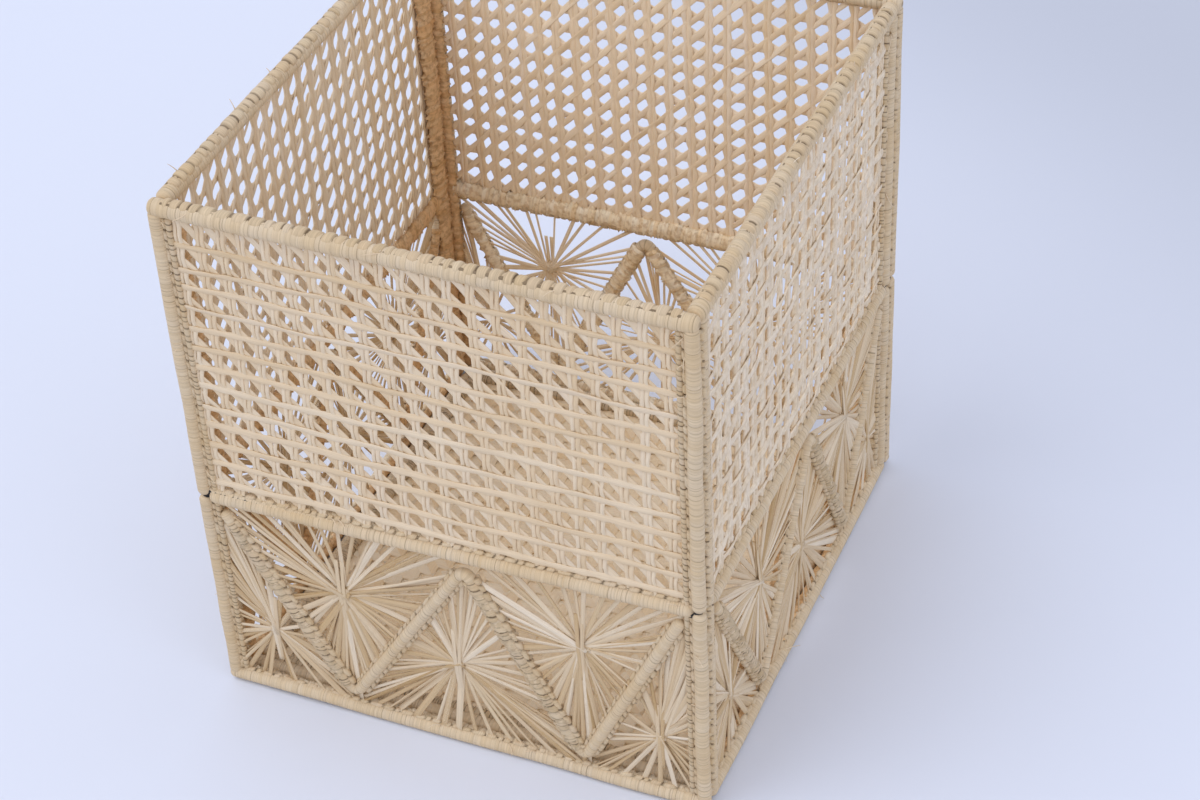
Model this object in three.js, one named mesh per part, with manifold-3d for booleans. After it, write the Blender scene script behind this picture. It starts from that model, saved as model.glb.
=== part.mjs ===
// Open-topped palm box for a cube of tissues, in millimetres, +Z up, standing on z = 0 about the origin.
// Four equal wall panels stand on a base. The front and back panels lie outside the two side panels.
// Every wall is built in its own frame: +X to the right and -Y outwards, as the front wall is seen.
import * as THREE from "three";
import { mergeVertices } from "three/addons/utils/BufferGeometryUtils.js";
import Module from "manifold-3d";

const wasm = await Module();
wasm.setup();

// Walls and rods
const PANEL_WIDTH = 135; // outer width of every wall panel
const BOX_HEIGHT = 152; // from the floor to the top of the top rail
const MID_RAIL_HEIGHT = 65; // axis of the rail between the cane weave and the fans
const WIRE_DIAMETER = 2.2; // steel wire inside rails and posts
const WRAP_THICKNESS = 0.7; // palm strip wound round the wire
const RAIL_END_CHAMFER = 1.1; // rounding of the top and bottom rails' ends
const SEAT_GAP = 0.3; // clearance between pieces that touch

// Zigzag rod: its lower bends and its peak, measured from the middle of the panel
const ZIGZAG_DIAMETER = 3.8;
const LEFT_FOOT = -30;
const PEAK = 5;
const RIGHT_FOOT = 34;

// Cane weave
const UPRIGHT_STRANDS = 22;
const CROSS_STRANDS = 13;
const UPRIGHT_WIDTH = 2.3; // two palm strips side by side
const CROSS_WIDTH = 1.7;
const DIAGONAL_WIDTH = 1.8;
const STRAND_THICKNESS = 0.6;
const LAYER_GAP = 0.3; // between the three layers of strands
const EDGING_WIDTH = 2.4; // stitched edge round the weave

// Sunburst fans
const SPOKE_WIDTH = 1.3;
const FAN_THICKNESS = 1;
const FAN_SPOKES = 24;
const END_FAN_SPOKES = 16;

// Base
const BASE_ROD_DIAMETER = 4.2;
const BASE_MAT_THICKNESS = 1.6;

// Sizes that follow
const ROD_DIAMETER = WIRE_DIAMETER + 2 * (SEAT_GAP + WRAP_THICKNESS);
const ROD_RADIUS = ROD_DIAMETER / 2;
const POST_AXIS = PANEL_WIDTH / 2 - ROD_RADIUS;
const TOP_AXIS = BOX_HEIGHT - ROD_RADIUS;
const BOTTOM_AXIS = ROD_RADIUS;
const CLEAR_HALF_WIDTH = POST_AXIS - ROD_RADIUS - SEAT_GAP;
const FRONT_OFFSET = PANEL_WIDTH / 2 + SEAT_GAP + ROD_RADIUS;
const SIDE_OFFSET = POST_AXIS;
const SIDES = 8; // an eight-sided rod rests on one of its flats
const HALF_FACET = Math.tan(Math.PI / SIDES);

// Colours
const PALE_PALM = { color: "#dccba6", roughness: 0.62, metalness: 0 };
const CANE_PALM = { color: "#d6c199", roughness: 0.6, metalness: 0 };
const FAN_PALM = { color: "#d2bb8e", roughness: 0.58, metalness: 0 };
const LACING_PALM = { color: "#cdb68a", roughness: 0.65, metalness: 0 };
const BASE_PALM = { color: "#c2a06c", roughness: 0.7, metalness: 0 };
const STEEL_WIRE = { color: "#8b8a86", roughness: 0.4, metalness: 0.9 };

// A closed geometry as a solid that can be joined and cut.
function solid(geometry) {
  const bare = geometry.clone();
  bare.deleteAttribute("normal");
  bare.deleteAttribute("uv");
  const merged = mergeVertices(bare, 1e-4);
  return new wasm.Manifold(
    new wasm.Mesh({
      numProp: 3,
      vertProperties: merged.attributes.position.array,
      triVerts: new Uint32Array(merged.index.array),
    }),
  );
}

// A solid as a geometry that a mesh can hold.
function geometryOf(body) {
  const { vertProperties, triVerts } = body.getMesh();
  const geometry = new THREE.BufferGeometry();
  geometry.setAttribute("position", new THREE.BufferAttribute(vertProperties, 3));
  geometry.setIndex(new THREE.BufferAttribute(triVerts, 1));
  geometry.computeVertexNormals();
  return geometry;
}

function join(bodies) {
  return bodies.reduce((whole, body) => whole.add(body));
}

function piece(name, geometry, finish) {
  const mesh = new THREE.Mesh(geometry, new THREE.MeshStandardMaterial(finish));
  mesh.name = name;
  return mesh;
}

// An eight-sided bar between two points [x, z] of the wall's plane, with flats facing out of the wall.
function bar(diameter, start, end) {
  const [dx, dz] = [end[0] - start[0], end[1] - start[1]];
  const radius = diameter / 2 / Math.cos(Math.PI / SIDES);
  const length = Math.hypot(dx, dz);
  return new THREE.CylinderGeometry(radius, radius, length, SIDES, 1, false, Math.PI / SIDES)
    .rotateX(Math.PI / 2)
    .rotateY(Math.atan2(dx, dz))
    .translate((start[0] + end[0]) / 2, 0, (start[1] + end[1]) / 2);
}

// A level eight-sided bar as wide as the panel, with chamfered ends.
function rail(height) {
  const radius = ROD_RADIUS / Math.cos(Math.PI / SIDES);
  const half = PANEL_WIDTH / 2;
  const profile = [
    [0, -half],
    [radius - RAIL_END_CHAMFER, -half],
    [radius, RAIL_END_CHAMFER - half],
    [radius, half - RAIL_END_CHAMFER],
    [radius - RAIL_END_CHAMFER, half],
    [0, half],
  ].map(([r, y]) => new THREE.Vector2(r, y));
  return new THREE.LatheGeometry(profile, SIDES, Math.PI / SIDES)
    .rotateZ(Math.PI / 2)
    .translate(0, 0, height);
}

// The welded wires of one wall, with a given wire diameter: a rectangle and one cross bar.
function wires(diameter) {
  const over = diameter / 2;
  const level = (z) => bar(diameter, [-POST_AXIS - over, z], [POST_AXIS + over, z]);
  const upright = (x) => bar(diameter, [x, BOTTOM_AXIS - over], [x, TOP_AXIS + over]);
  const bars = [BOTTOM_AXIS, MID_RAIL_HEIGHT, TOP_AXIS].map(level);
  bars.push(upright(-POST_AXIS), upright(POST_AXIS));
  return join(bars.map(solid));
}

// A palm wrap: the outside of a rod with room cut for the wires inside it.
const wireRoom = wires(WIRE_DIAMETER + 2 * SEAT_GAP);
const wrap = (outside) => geometryOf(solid(outside).subtract(wireRoom));

function post(x) {
  const low = ROD_DIAMETER + SEAT_GAP;
  return wrap(bar(ROD_DIAMETER, [x, low], [x, BOX_HEIGHT - low]));
}

function midRail() {
  const ends = [-CLEAR_HALF_WIDTH, CLEAR_HALF_WIDTH].map((x) => [x, MID_RAIL_HEIGHT]);
  return wrap(bar(ROD_DIAMETER, ...ends));
}

// Bends of the zigzag rod, which just clears the posts, the mid rail and the bottom rail.
const zigzagRadius = ZIGZAG_DIAMETER / 2;
const zigzagTop = MID_RAIL_HEIGHT - ROD_RADIUS - SEAT_GAP - zigzagRadius;
const zigzagBottom = ROD_DIAMETER + SEAT_GAP + zigzagRadius;
const zigzagEnd = CLEAR_HALF_WIDTH - zigzagRadius;
const zigzagBends = [
  [-zigzagEnd, zigzagTop],
  [LEFT_FOOT, zigzagBottom],
  [PEAK, zigzagTop],
  [RIGHT_FOOT, zigzagBottom],
  [zigzagEnd, zigzagTop],
];

function zigzagRod() {
  const legs = zigzagBends.slice(1).map((end, i) => bar(ZIGZAG_DIAMETER, zigzagBends[i], end));
  const knees = zigzagBends.map(([x, z]) =>
    new THREE.SphereGeometry(zigzagRadius, SIDES, SIDES / 2).translate(x, 0, z),
  );
  return geometryOf(join([...legs, ...knees].map(solid)));
}

// A flat plate cut to an outline in the wall's plane, from one depth inside the wall's axis to another.
function plate(outline, inner, outer) {
  return new THREE.ExtrudeGeometry(outline, { depth: outer - inner, bevelEnabled: false })
    .rotateX(Math.PI / 2)
    .translate(0, -inner, 0);
}

function rectangle(left, low, right, high) {
  const corners = [
    [left, low],
    [right, low],
    [right, high],
    [left, high],
  ];
  return corners.map(([x, y]) => new THREE.Vector2(x, y));
}

// Cane weave: three layers of strands, apart from each other and held by the edging round them.
// Cross strands lie outside the uprights, and diagonals inside, falling to the right by one cell a cell.
function canePanel() {
  const low = MID_RAIL_HEIGHT + ROD_RADIUS + SEAT_GAP;
  const high = BOX_HEIGHT - ROD_DIAMETER - SEAT_GAP;
  const right = CLEAR_HALF_WIDTH - EDGING_WIDTH;
  const [sill, lintel] = [low + EDGING_WIDTH, high - EDGING_WIDTH];
  const rooted = EDGING_WIDTH / 2; // how far a strand runs into the edging
  const halfLayer = STRAND_THICKNESS / 2;
  const pitch = STRAND_THICKNESS + LAYER_GAP;
  const strand = (corners, layer) =>
    plate(new THREE.Shape(corners), layer * pitch - halfLayer, layer * pitch + halfLayer);

  const edge = new THREE.Shape(rectangle(-CLEAR_HALF_WIDTH, low, CLEAR_HALF_WIDTH, high));
  edge.holes.push(new THREE.Path(rectangle(-right, sill, right, lintel)));
  const edging = plate(edge, -pitch - halfLayer, pitch + halfLayer);

  const cellWidth = (2 * right) / UPRIGHT_STRANDS;
  const cellHeight = (lintel - sill) / CROSS_STRANDS;
  const uprights = Array.from({ length: UPRIGHT_STRANDS }, (_, i) => {
    const x = -right + (i + 0.5) * cellWidth;
    const half = UPRIGHT_WIDTH / 2;
    return strand(rectangle(x - half, sill - rooted, x + half, lintel + rooted), 0);
  });
  const crossings = Array.from({ length: CROSS_STRANDS }, (_, i) => {
    const z = sill + (i + 0.5) * cellHeight;
    const half = CROSS_WIDTH / 2;
    return strand(rectangle(-right - rooted, z - half, right + rooted, z + half), 1);
  });

  // A diagonal starts left of the weave and leaves it below, so it is cut to the edging's middle.
  const drop = cellHeight / cellWidth;
  const halfCut = (DIAGONAL_WIDTH / 2) * Math.hypot(1, drop);
  const [start, stop] = [-CLEAR_HALF_WIDTH, CLEAR_HALF_WIDTH];
  const fall = (stop - start) * drop;
  const diagonals = Array.from({ length: UPRIGHT_STRANDS + CROSS_STRANDS - 1 }, (_, i) => {
    const z = sill + (i + 1) * cellHeight + (-right - start) * drop;
    const corners = [
      [start, z - halfCut],
      [stop, z - fall - halfCut],
      [stop, z - fall + halfCut],
      [start, z + halfCut],
    ];
    return strand(corners.map(([x, y]) => new THREE.Vector2(x, y)), -1);
  });
  const field = rectangle(-right - rooted, sill - rooted, right + rooted, lintel + rooted);
  const trim = solid(strand(field, -1));
  const slanted = join(diagonals.map(solid)).intersect(trim);
  return geometryOf(join([edging, ...uprights, ...crossings].map(solid)).add(slanted));
}

// One straight side of a fan's cell: the axis of the rod beside it, and how far the fan stays off that axis.
function side(start, end, radius) {
  const along = new THREE.Vector2(end[0] - start[0], end[1] - start[1]).normalize();
  const inward = new THREE.Vector2(-along.y, along.x);
  const point = new THREE.Vector2(...start).addScaledVector(inward, radius + SEAT_GAP);
  return { point, along, inward };
}

// The corner where two sides of a cell meet.
function corner(first, second) {
  const apart = second.point.clone().sub(first.point);
  const travel = apart.dot(second.inward) / first.along.dot(second.inward);
  return first.point.clone().addScaledVector(first.along, travel);
}

// A sunburst of flat spokes from the middle of a triangular cell, each cut square where it meets a side.
// Neighbouring spokes run together near the hub, where their edges cross.
function fan(sides, spokes) {
  const corners = sides.map((s, i) => corner(s, sides[(i + 1) % sides.length]));
  const hub = corners.reduce((sum, c) => sum.add(c), new THREE.Vector2()).divideScalar(corners.length);
  const reach = (from, way) => {
    const runs = sides
      .filter((s) => way.dot(s.inward) < 0)
      .map((s) => s.point.clone().sub(from).dot(s.inward) / way.dot(s.inward));
    return Math.min(...runs);
  };
  const turn = (2 * Math.PI) / spokes;
  const meet = SPOKE_WIDTH / 2 / Math.sin(turn / 2);
  const outline = [];
  for (let i = 0; i < spokes; i += 1) {
    const angle = (i + 0.5) * turn;
    const way = new THREE.Vector2(Math.cos(angle), Math.sin(angle));
    const across = new THREE.Vector2(-way.y, way.x).multiplyScalar(SPOKE_WIDTH / 2);
    const edges = [hub.clone().sub(across), hub.clone().add(across)];
    const length = Math.min(...edges.map((edge) => reach(edge, way)));
    outline.push(...edges.map((edge) => edge.addScaledVector(way, length)));
    const between = new THREE.Vector2(Math.cos(angle + turn / 2), Math.sin(angle + turn / 2));
    outline.push(hub.clone().addScaledVector(between, meet));
  }
  return plate(new THREE.Shape(outline), -FAN_THICKNESS / 2, FAN_THICKNESS / 2);
}

// The five cells of the lower band, each with its sides in anticlockwise order.
function fans() {
  const [a, b, c, d, e] = zigzagBends;
  const beside = (x, from, to) => side([x, from], [x, to], ROD_RADIUS);
  const floor = side([-1, BOTTOM_AXIS], [1, BOTTOM_AXIS], ROD_RADIUS);
  const ceiling = side([1, MID_RAIL_HEIGHT], [-1, MID_RAIL_HEIGHT], ROD_RADIUS);
  const leg = (from, to) => side(from, to, zigzagRadius);
  return {
    fan_left_end: fan([beside(-POST_AXIS, 1, 0), floor, leg(b, a)], END_FAN_SPOKES),
    fan_left_hanging: fan([ceiling, leg(a, b), leg(b, c)], FAN_SPOKES),
    fan_middle: fan([floor, leg(d, c), leg(c, b)], FAN_SPOKES),
    fan_right_hanging: fan([ceiling, leg(c, d), leg(d, e)], FAN_SPOKES),
    fan_right_end: fan([floor, beside(POST_AXIS, 0, 1), leg(e, d)], END_FAN_SPOKES),
  };
}

function wall(name) {
  const group = new THREE.Group();
  const add = (part, geometry, finish) => group.add(piece(name + "_" + part, geometry, finish));
  add("wire_frame", geometryOf(wires(WIRE_DIAMETER)), STEEL_WIRE);
  add("top_rail", wrap(rail(TOP_AXIS)), PALE_PALM);
  add("mid_rail", midRail(), PALE_PALM);
  add("bottom_rail", wrap(rail(BOTTOM_AXIS)), PALE_PALM);
  add("left_post", post(-POST_AXIS), PALE_PALM);
  add("right_post", post(POST_AXIS), PALE_PALM);
  add("zigzag_rod", zigzagRod(), PALE_PALM);
  add("cane_panel", canePanel(), CANE_PALM);
  for (const [part, geometry] of Object.entries(fans())) add(part, geometry, FAN_PALM);
  return group;
}

// Base: a ring of wrapped rod that lies inside the bottom rails, and the mat that it carries.
function base() {
  const group = new THREE.Group();
  const facet = BASE_ROD_DIAMETER * HALF_FACET;
  const bevel = (BASE_ROD_DIAMETER - facet) / 2;
  const [halfX, halfY] = [CLEAR_HALF_WIDTH, PANEL_WIDTH / 2];
  const [innerX, innerY] = [halfX - BASE_ROD_DIAMETER, halfY - BASE_ROD_DIAMETER];
  const ring = new THREE.Shape(rectangle(-halfX, -halfY, halfX, halfY));
  ring.holes.push(new THREE.Path(rectangle(-innerX, -innerY, innerX, innerY)));
  const rods = new THREE.ExtrudeGeometry(ring, {
    depth: facet,
    bevelThickness: bevel,
    bevelSize: bevel,
    bevelOffset: -bevel,
    bevelSegments: 1,
  }).translate(0, 0, bevel);
  group.add(piece("base_frame", rods, PALE_PALM));

  const [matX, matY] = [innerX - SEAT_GAP, innerY - SEAT_GAP];
  const mat = new THREE.BoxGeometry(2 * matX, 2 * matY, BASE_MAT_THICKNESS);
  group.add(piece("base_mat", mat.translate(0, 0, BASE_ROD_DIAMETER / 2), BASE_PALM));
  return group;
}

// Corner lacing: a cord in the groove between the two posts that meet at a corner, flush with their outsides.
function cornerLacing() {
  const groove = ROD_RADIUS * (1 - HALF_FACET) + SEAT_GAP / 2;
  const depth = groove - SEAT_GAP * Math.SQRT2;
  const section = new THREE.Shape(
    [
      [-depth, 0],
      [0, -depth],
      [0, depth],
    ].map(([x, y]) => new THREE.Vector2(x, y)),
  );
  const height = BOX_HEIGHT - 2 * (ROD_DIAMETER + SEAT_GAP);
  return new THREE.ExtrudeGeometry(section, { depth: height, bevelEnabled: false });
}

function lacings() {
  const group = new THREE.Group();
  const seam = (PANEL_WIDTH + SEAT_GAP) / 2;
  for (const [row, y] of [["front", -seam], ["back", seam]]) {
    for (const [column, x, turn] of [["left", -PANEL_WIDTH / 2, Math.PI], ["right", PANEL_WIDTH / 2, 0]]) {
      const lacing = piece("corner_lacing_" + row + "_" + column, cornerLacing(), LACING_PALM);
      lacing.position.set(x, y, ROD_DIAMETER + SEAT_GAP);
      lacing.rotation.z = turn;
      group.add(lacing);
    }
  }
  return group;
}

const walls = [
  ["front", 0, -FRONT_OFFSET, 0],
  ["right", SIDE_OFFSET, 0, Math.PI / 2],
  ["back", 0, FRONT_OFFSET, Math.PI],
  ["left", -SIDE_OFFSET, 0, -Math.PI / 2],
];

const box = new THREE.Group();
for (const [name, x, y, turn] of walls) {
  const panel = wall(name);
  panel.position.set(x, y, 0);
  panel.rotation.z = turn;
  box.add(panel);
}
box.add(base(), lacings());

export default box;
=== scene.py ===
"""Open-topped palm box: wound rods, cane-woven walls and sunburst fans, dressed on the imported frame.

Shapes are worked out in millimetres in a wall's own frame: x to the right and z up as the wall is seen from
outside, y into the box. Each is then turned to its wall's place and written to a mesh in metres.
"""

import logging
from collections.abc import Sequence
from dataclasses import dataclass, replace
from enum import Enum

import bpy
import numpy as np
from mathutils import Matrix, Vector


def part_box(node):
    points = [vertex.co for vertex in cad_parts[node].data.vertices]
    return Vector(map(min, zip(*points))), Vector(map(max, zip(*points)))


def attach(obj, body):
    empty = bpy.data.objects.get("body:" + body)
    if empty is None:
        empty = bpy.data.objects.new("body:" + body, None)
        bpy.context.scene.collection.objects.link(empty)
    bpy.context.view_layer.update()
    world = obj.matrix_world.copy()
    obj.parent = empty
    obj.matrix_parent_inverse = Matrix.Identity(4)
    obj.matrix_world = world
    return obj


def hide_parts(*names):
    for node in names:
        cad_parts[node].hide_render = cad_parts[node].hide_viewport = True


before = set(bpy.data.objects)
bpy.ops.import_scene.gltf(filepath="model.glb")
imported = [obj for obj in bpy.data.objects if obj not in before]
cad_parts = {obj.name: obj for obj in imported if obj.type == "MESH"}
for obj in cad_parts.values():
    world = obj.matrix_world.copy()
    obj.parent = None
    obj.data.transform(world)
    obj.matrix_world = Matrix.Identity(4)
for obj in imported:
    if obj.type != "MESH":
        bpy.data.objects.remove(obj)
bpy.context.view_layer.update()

LOG = logging.getLogger("palm_box")
MM = 0.001
SEED = 41
BODY = "root"
STRIP_UV = "strip"
TINT = "tint"
OUTWARD = np.array([0.0, -1.0, 0.0])
UPWARD = np.array([0.0, 0.0, 1.0])
# Corners of a flat strip's section, as shares of half its width and of its thickness
STRIP_SECTION = np.array([
    (1, 0), (0.82, 0.45), (0, 0.55), (-0.82, 0.45), (-1, 0), (-0.82, -0.45), (0, -0.55), (0.82, -0.45),
])


class Layout(Enum):
    """How a finish reads the strip coordinates of a piece."""

    WOUND = "turns along the core, millimetres round it"
    FLAT = "millimetres along the strip, millimetres across it"


class Weave(Enum):
    """How the cross strands of a wall pass its upright pairs."""

    OUTSIDE = "outside every pair"
    PLAIN = "outside one pair and inside the next"


class Draw(Enum):
    """Random streams, so that a change to one form leaves the others as they are."""

    RODS = 1
    ZIGZAG = 2
    STITCHES = 3
    CANE = 4
    FANS = 5
    LACING = 6
    BASE = 7
    KNOTS = 8
    FIBRES = 9


def draws(wall: int, form: Draw) -> np.random.Generator:
    """Gives the seeded random stream of one form of one wall."""
    return np.random.default_rng([SEED, wall, form.value])


def hex_linear(code: str) -> tuple[float, float, float, float]:
    """Turns an sRGB hex colour to linear light.

    A dark channel c gives c / 12.92, and any other gives ((c + 0.055) / 1.055) to the power of 2.4.
    """
    raw = np.array([int(code[start:start + 2], 16) for start in (1, 3, 5)]) / 255.0
    light = np.where(raw <= 0.04045, raw / 12.92, ((raw + 0.055) / 1.055) ** 2.4)
    return (*light.tolist(), 1.0)


def add_node(
    tree: bpy.types.NodeTree, kind: str, settings: dict | None = None, inputs: dict | None = None
) -> bpy.types.Node:
    """Adds a node, sets its settings, and fills or links its inputs.

    Args:
        tree: node tree that takes the node.
        kind: Blender's name of the node type.
        settings: attribute names and their values.
        inputs: socket names or numbers, each with a plain value or the output socket to link from.

    Returns:
        The new node.
    """
    node = tree.nodes.new(kind)
    for name, value in (settings or {}).items():
        setattr(node, name, value)
    for name, value in (inputs or {}).items():
        if isinstance(value, bpy.types.NodeSocket):
            tree.links.new(value, node.inputs[name])
        else:
            node.inputs[name].default_value = value
    return node


def empty_tree(owner: bpy.types.Material | bpy.types.World) -> bpy.types.NodeTree:
    """Turns on the nodes of a material or a world and empties its tree."""
    owner.use_nodes = True
    owner.node_tree.nodes.clear()
    return owner.node_tree


@dataclass
class Surface:
    """Quads with strip coordinates and a tint.

    Attributes:
        points: vertices in millimetres, shape (vertices, 3).
        quads: vertex numbers, shape (faces, 4).
        strip: strip coordinates of each face corner, shape (faces, 4, 2).
        tint: number from 0 to 1 for each vertex, the same all along one strip.
    """

    points: np.ndarray
    quads: np.ndarray
    strip: np.ndarray
    tint: np.ndarray

    @staticmethod
    def join(parts: Sequence["Surface"]) -> "Surface":
        """Puts several surfaces into one."""
        starts = np.cumsum([0] + [len(part.points) for part in parts[:-1]])
        return Surface(
            np.concatenate([part.points for part in parts]),
            np.concatenate([part.quads + start for part, start in zip(parts, starts)]),
            np.concatenate([part.strip for part in parts]),
            np.concatenate([part.tint for part in parts]),
        )

    def placed(self, turn: float, place: Sequence[float]) -> "Surface":
        """Turns the surface about the upright axis, then moves it in the floor's plane."""
        cos, sin = np.cos(turn), np.sin(turn)
        rotation = np.array([(cos, sin, 0.0), (-sin, cos, 0.0), (0.0, 0.0, 1.0)])
        return Surface(self.points @ rotation + np.array([*place, 0.0]), self.quads, self.strip, self.tint)

    def piece(self, name: str, dress: bpy.types.Material, slot: str, *nodes: str) -> bpy.types.Object:
        """Writes the surface to a mesh object that rides on the box and stands for CAD nodes.

        Args:
            name: name of the new object.
            dress: its material.
            slot: not used.
            nodes: CAD nodes that it stands for.

        Returns:
            The object, at the origin with its place in its mesh.
        """
        faces = len(self.quads)
        mesh = bpy.data.meshes.new(name)
        mesh.vertices.add(len(self.points))
        mesh.vertices.foreach_set("co", (self.points * MM).astype(np.float32).ravel())
        mesh.loops.add(4 * faces)
        mesh.loops.foreach_set("vertex_index", self.quads.astype(np.int32).ravel())
        mesh.polygons.add(faces)
        mesh.polygons.foreach_set("loop_start", np.arange(0, 4 * faces, 4, dtype=np.int32))
        mesh.polygons.foreach_set("use_smooth", np.ones(faces, dtype=bool))
        mesh.update(calc_edges=True)
        mesh.uv_layers.new(name=STRIP_UV).data.foreach_set("uv", self.strip.astype(np.float32).ravel())
        tints = mesh.attributes.new(TINT, "FLOAT", "POINT")
        tints.data.foreach_set("value", self.tint.astype(np.float32))
        mesh.validate()
        mesh.materials.append(dress)
        piece = bpy.data.objects.new(name, mesh)
        bpy.context.scene.collection.objects.link(piece)
        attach(piece, BODY)
        if nodes:
            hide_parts(*nodes)
        LOG.info("%s: %d triangles for %s", name, 2 * faces, ", ".join(nodes) or "the look alone")
        return piece


def carry(
    centre: np.ndarray,
    side: np.ndarray,
    face: np.ndarray,
    section: np.ndarray,
    along: np.ndarray,
    across: np.ndarray,
    tint: np.ndarray,
    closing: float = 0.0,
) -> Surface:
    """Carries closed profiles along paths: each point is centre + x * side + y * face.

    Quads join the rings of one path, and quads across the profile close its two ends.

    Args:
        centre: path points, shape (paths, rings, 3).
        side: vectors for the profile's x, of the same shape.
        face: vectors for the profile's y, of the same shape.
        section: profile points, anticlockwise and even in number, shape (paths, rings, corners, 2).
        along: first strip coordinate, shape (paths, rings).
        across: second strip coordinate, broadcast to (paths, rings, corners).
        tint: one number for each path.
        closing: added to the second coordinate where the profile closes on its first corner.

    Returns:
        The closed surface, with its faces outward where side x face runs along the path.
    """
    paths, rings, corners = section.shape[:3]
    points = centre[:, :, None] + section[..., :1] * side[:, :, None] + section[..., 1:] * face[:, :, None]
    grid = np.arange(paths * rings * corners).reshape(paths, rings, corners)
    following = np.roll(grid, -1, axis=2)
    tube = np.stack([grid[:, :-1], following[:, :-1], following[:, 1:], grid[:, 1:]], axis=-1)
    half = np.arange(corners // 2 - 1)
    lid = np.stack([half, half + 1, corners - 2 - half, corners - 1 - half], axis=-1)
    lids = [grid[:, 0][:, lid[:, ::-1]].reshape(-1, 4), grid[:, -1][:, lid].reshape(-1, 4)]
    first = np.broadcast_to(along[..., None], grid.shape)
    second = np.broadcast_to(across, grid.shape)
    after = np.roll(second, -1, axis=2)
    after[..., -1] += closing
    tube_first = np.stack([first[:, :-1], first[:, :-1], first[:, 1:], first[:, 1:]], axis=-1)
    tube_second = np.stack([second[:, :-1], after[:, :-1], after[:, 1:], second[:, 1:]], axis=-1)
    tube_strip = np.stack([tube_first, tube_second], axis=-1).reshape(-1, 4, 2)
    flat = np.stack([first.ravel(), second.ravel()], axis=-1)
    return Surface(
        points.reshape(-1, 3),
        np.concatenate([tube.reshape(-1, 4), *lids]),
        np.concatenate([tube_strip, flat[lids[0]], flat[lids[1]]]),
        np.repeat(tint, rings * corners),
    )


def unit(vectors: np.ndarray) -> np.ndarray:
    """Scales vectors to length one."""
    return vectors / np.linalg.norm(vectors, axis=-1, keepdims=True)


def points_at(x: np.ndarray, y: np.ndarray, z: np.ndarray) -> np.ndarray:
    """Puts coordinates of unlike shapes together into points."""
    return np.stack(np.broadcast_arrays(x, y, z), axis=-1)


def round_points(sides: int) -> tuple[np.ndarray, np.ndarray]:
    """Gives evenly spaced angles round a circle, and the points of the unit circle there."""
    angle = 2 * np.pi * np.arange(sides) / sides
    return angle, np.stack([np.cos(angle), np.sin(angle)], axis=-1)


def bent(start: np.ndarray, bend: np.ndarray, end: np.ndarray, steps: int) -> np.ndarray:
    """Runs quadratic curves: (1 - t)^2 of start, 2 t (1 - t) of bend and t^2 of end, for t from 0 to 1.

    Args:
        start: first points, shape (curves, 3).
        bend: points that the curves lean to, of the same shape.
        end: last points, of the same shape.
        steps: points on each curve.

    Returns:
        The curves, shape (curves, steps, 3).
    """
    t = np.linspace(0, 1, steps)[None, :, None]
    return (1 - t) ** 2 * start[:, None] + 2 * t * (1 - t) * bend[:, None] + t**2 * end[:, None]


def ribbons(
    centre: np.ndarray,
    hint: np.ndarray,
    width: np.ndarray,
    thickness: float,
    tint: np.ndarray,
    twist: np.ndarray,
) -> Surface:
    """Carries a flat strip's section along paths, with its broad side towards hint, turned by twist.

    The strip's side is hint x tangent and its face is tangent x side, both turned about the tangent.

    Args:
        centre: path points, shape (paths, rings, 3).
        hint: direction that the broad side looks to, broadcast to the paths.
        width: strip widths, broadcast to (paths, rings).
        thickness: thickness of every strip.
        tint: one number for each path.
        twist: turn about the path in radians, broadcast to (paths, rings).

    Returns:
        The closed strips.
    """
    tangent = unit(np.gradient(centre, axis=1))
    side = unit(np.cross(hint, tangent))
    face = np.cross(tangent, side)
    turn = np.broadcast_to(twist, centre.shape[:2])[..., None]
    side, face = side * np.cos(turn) + face * np.sin(turn), face * np.cos(turn) - side * np.sin(turn)
    wide = np.broadcast_to(width, centre.shape[:2])
    size = np.stack([wide / 2, np.full(wide.shape, thickness)], axis=-1)
    section = STRIP_SECTION * size[:, :, None]
    steps = np.linalg.norm(np.diff(centre, axis=1), axis=-1)
    along = np.concatenate([np.zeros((len(centre), 1)), np.cumsum(steps, axis=1)], axis=1)
    return carry(centre, side, face, section, along, section[..., 0], tint)


# How far turns of a winding stray: limits of their widths, then spread, limits and most of their grooves
TURN_LIMITS = (0.55, 1.45)
GROOVE_SPREAD = 0.45
GROOVE_LIMITS = (0.4, 2.2)
GROOVE_MOST = 0.7
# Spread of the turns' bulges as a share of the groove, of their slant as a share, and limits of their lumps
BULGE_SPREAD = 0.15
SLANT_SPREAD = 0.3
LUMP_LIMITS = (-2, 2)
# Least radius at a rounded end, and how far ahead and behind a direction is taken, as shares
END_LEAST = 0.2
LOOK_SHARE = 0.2


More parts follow.
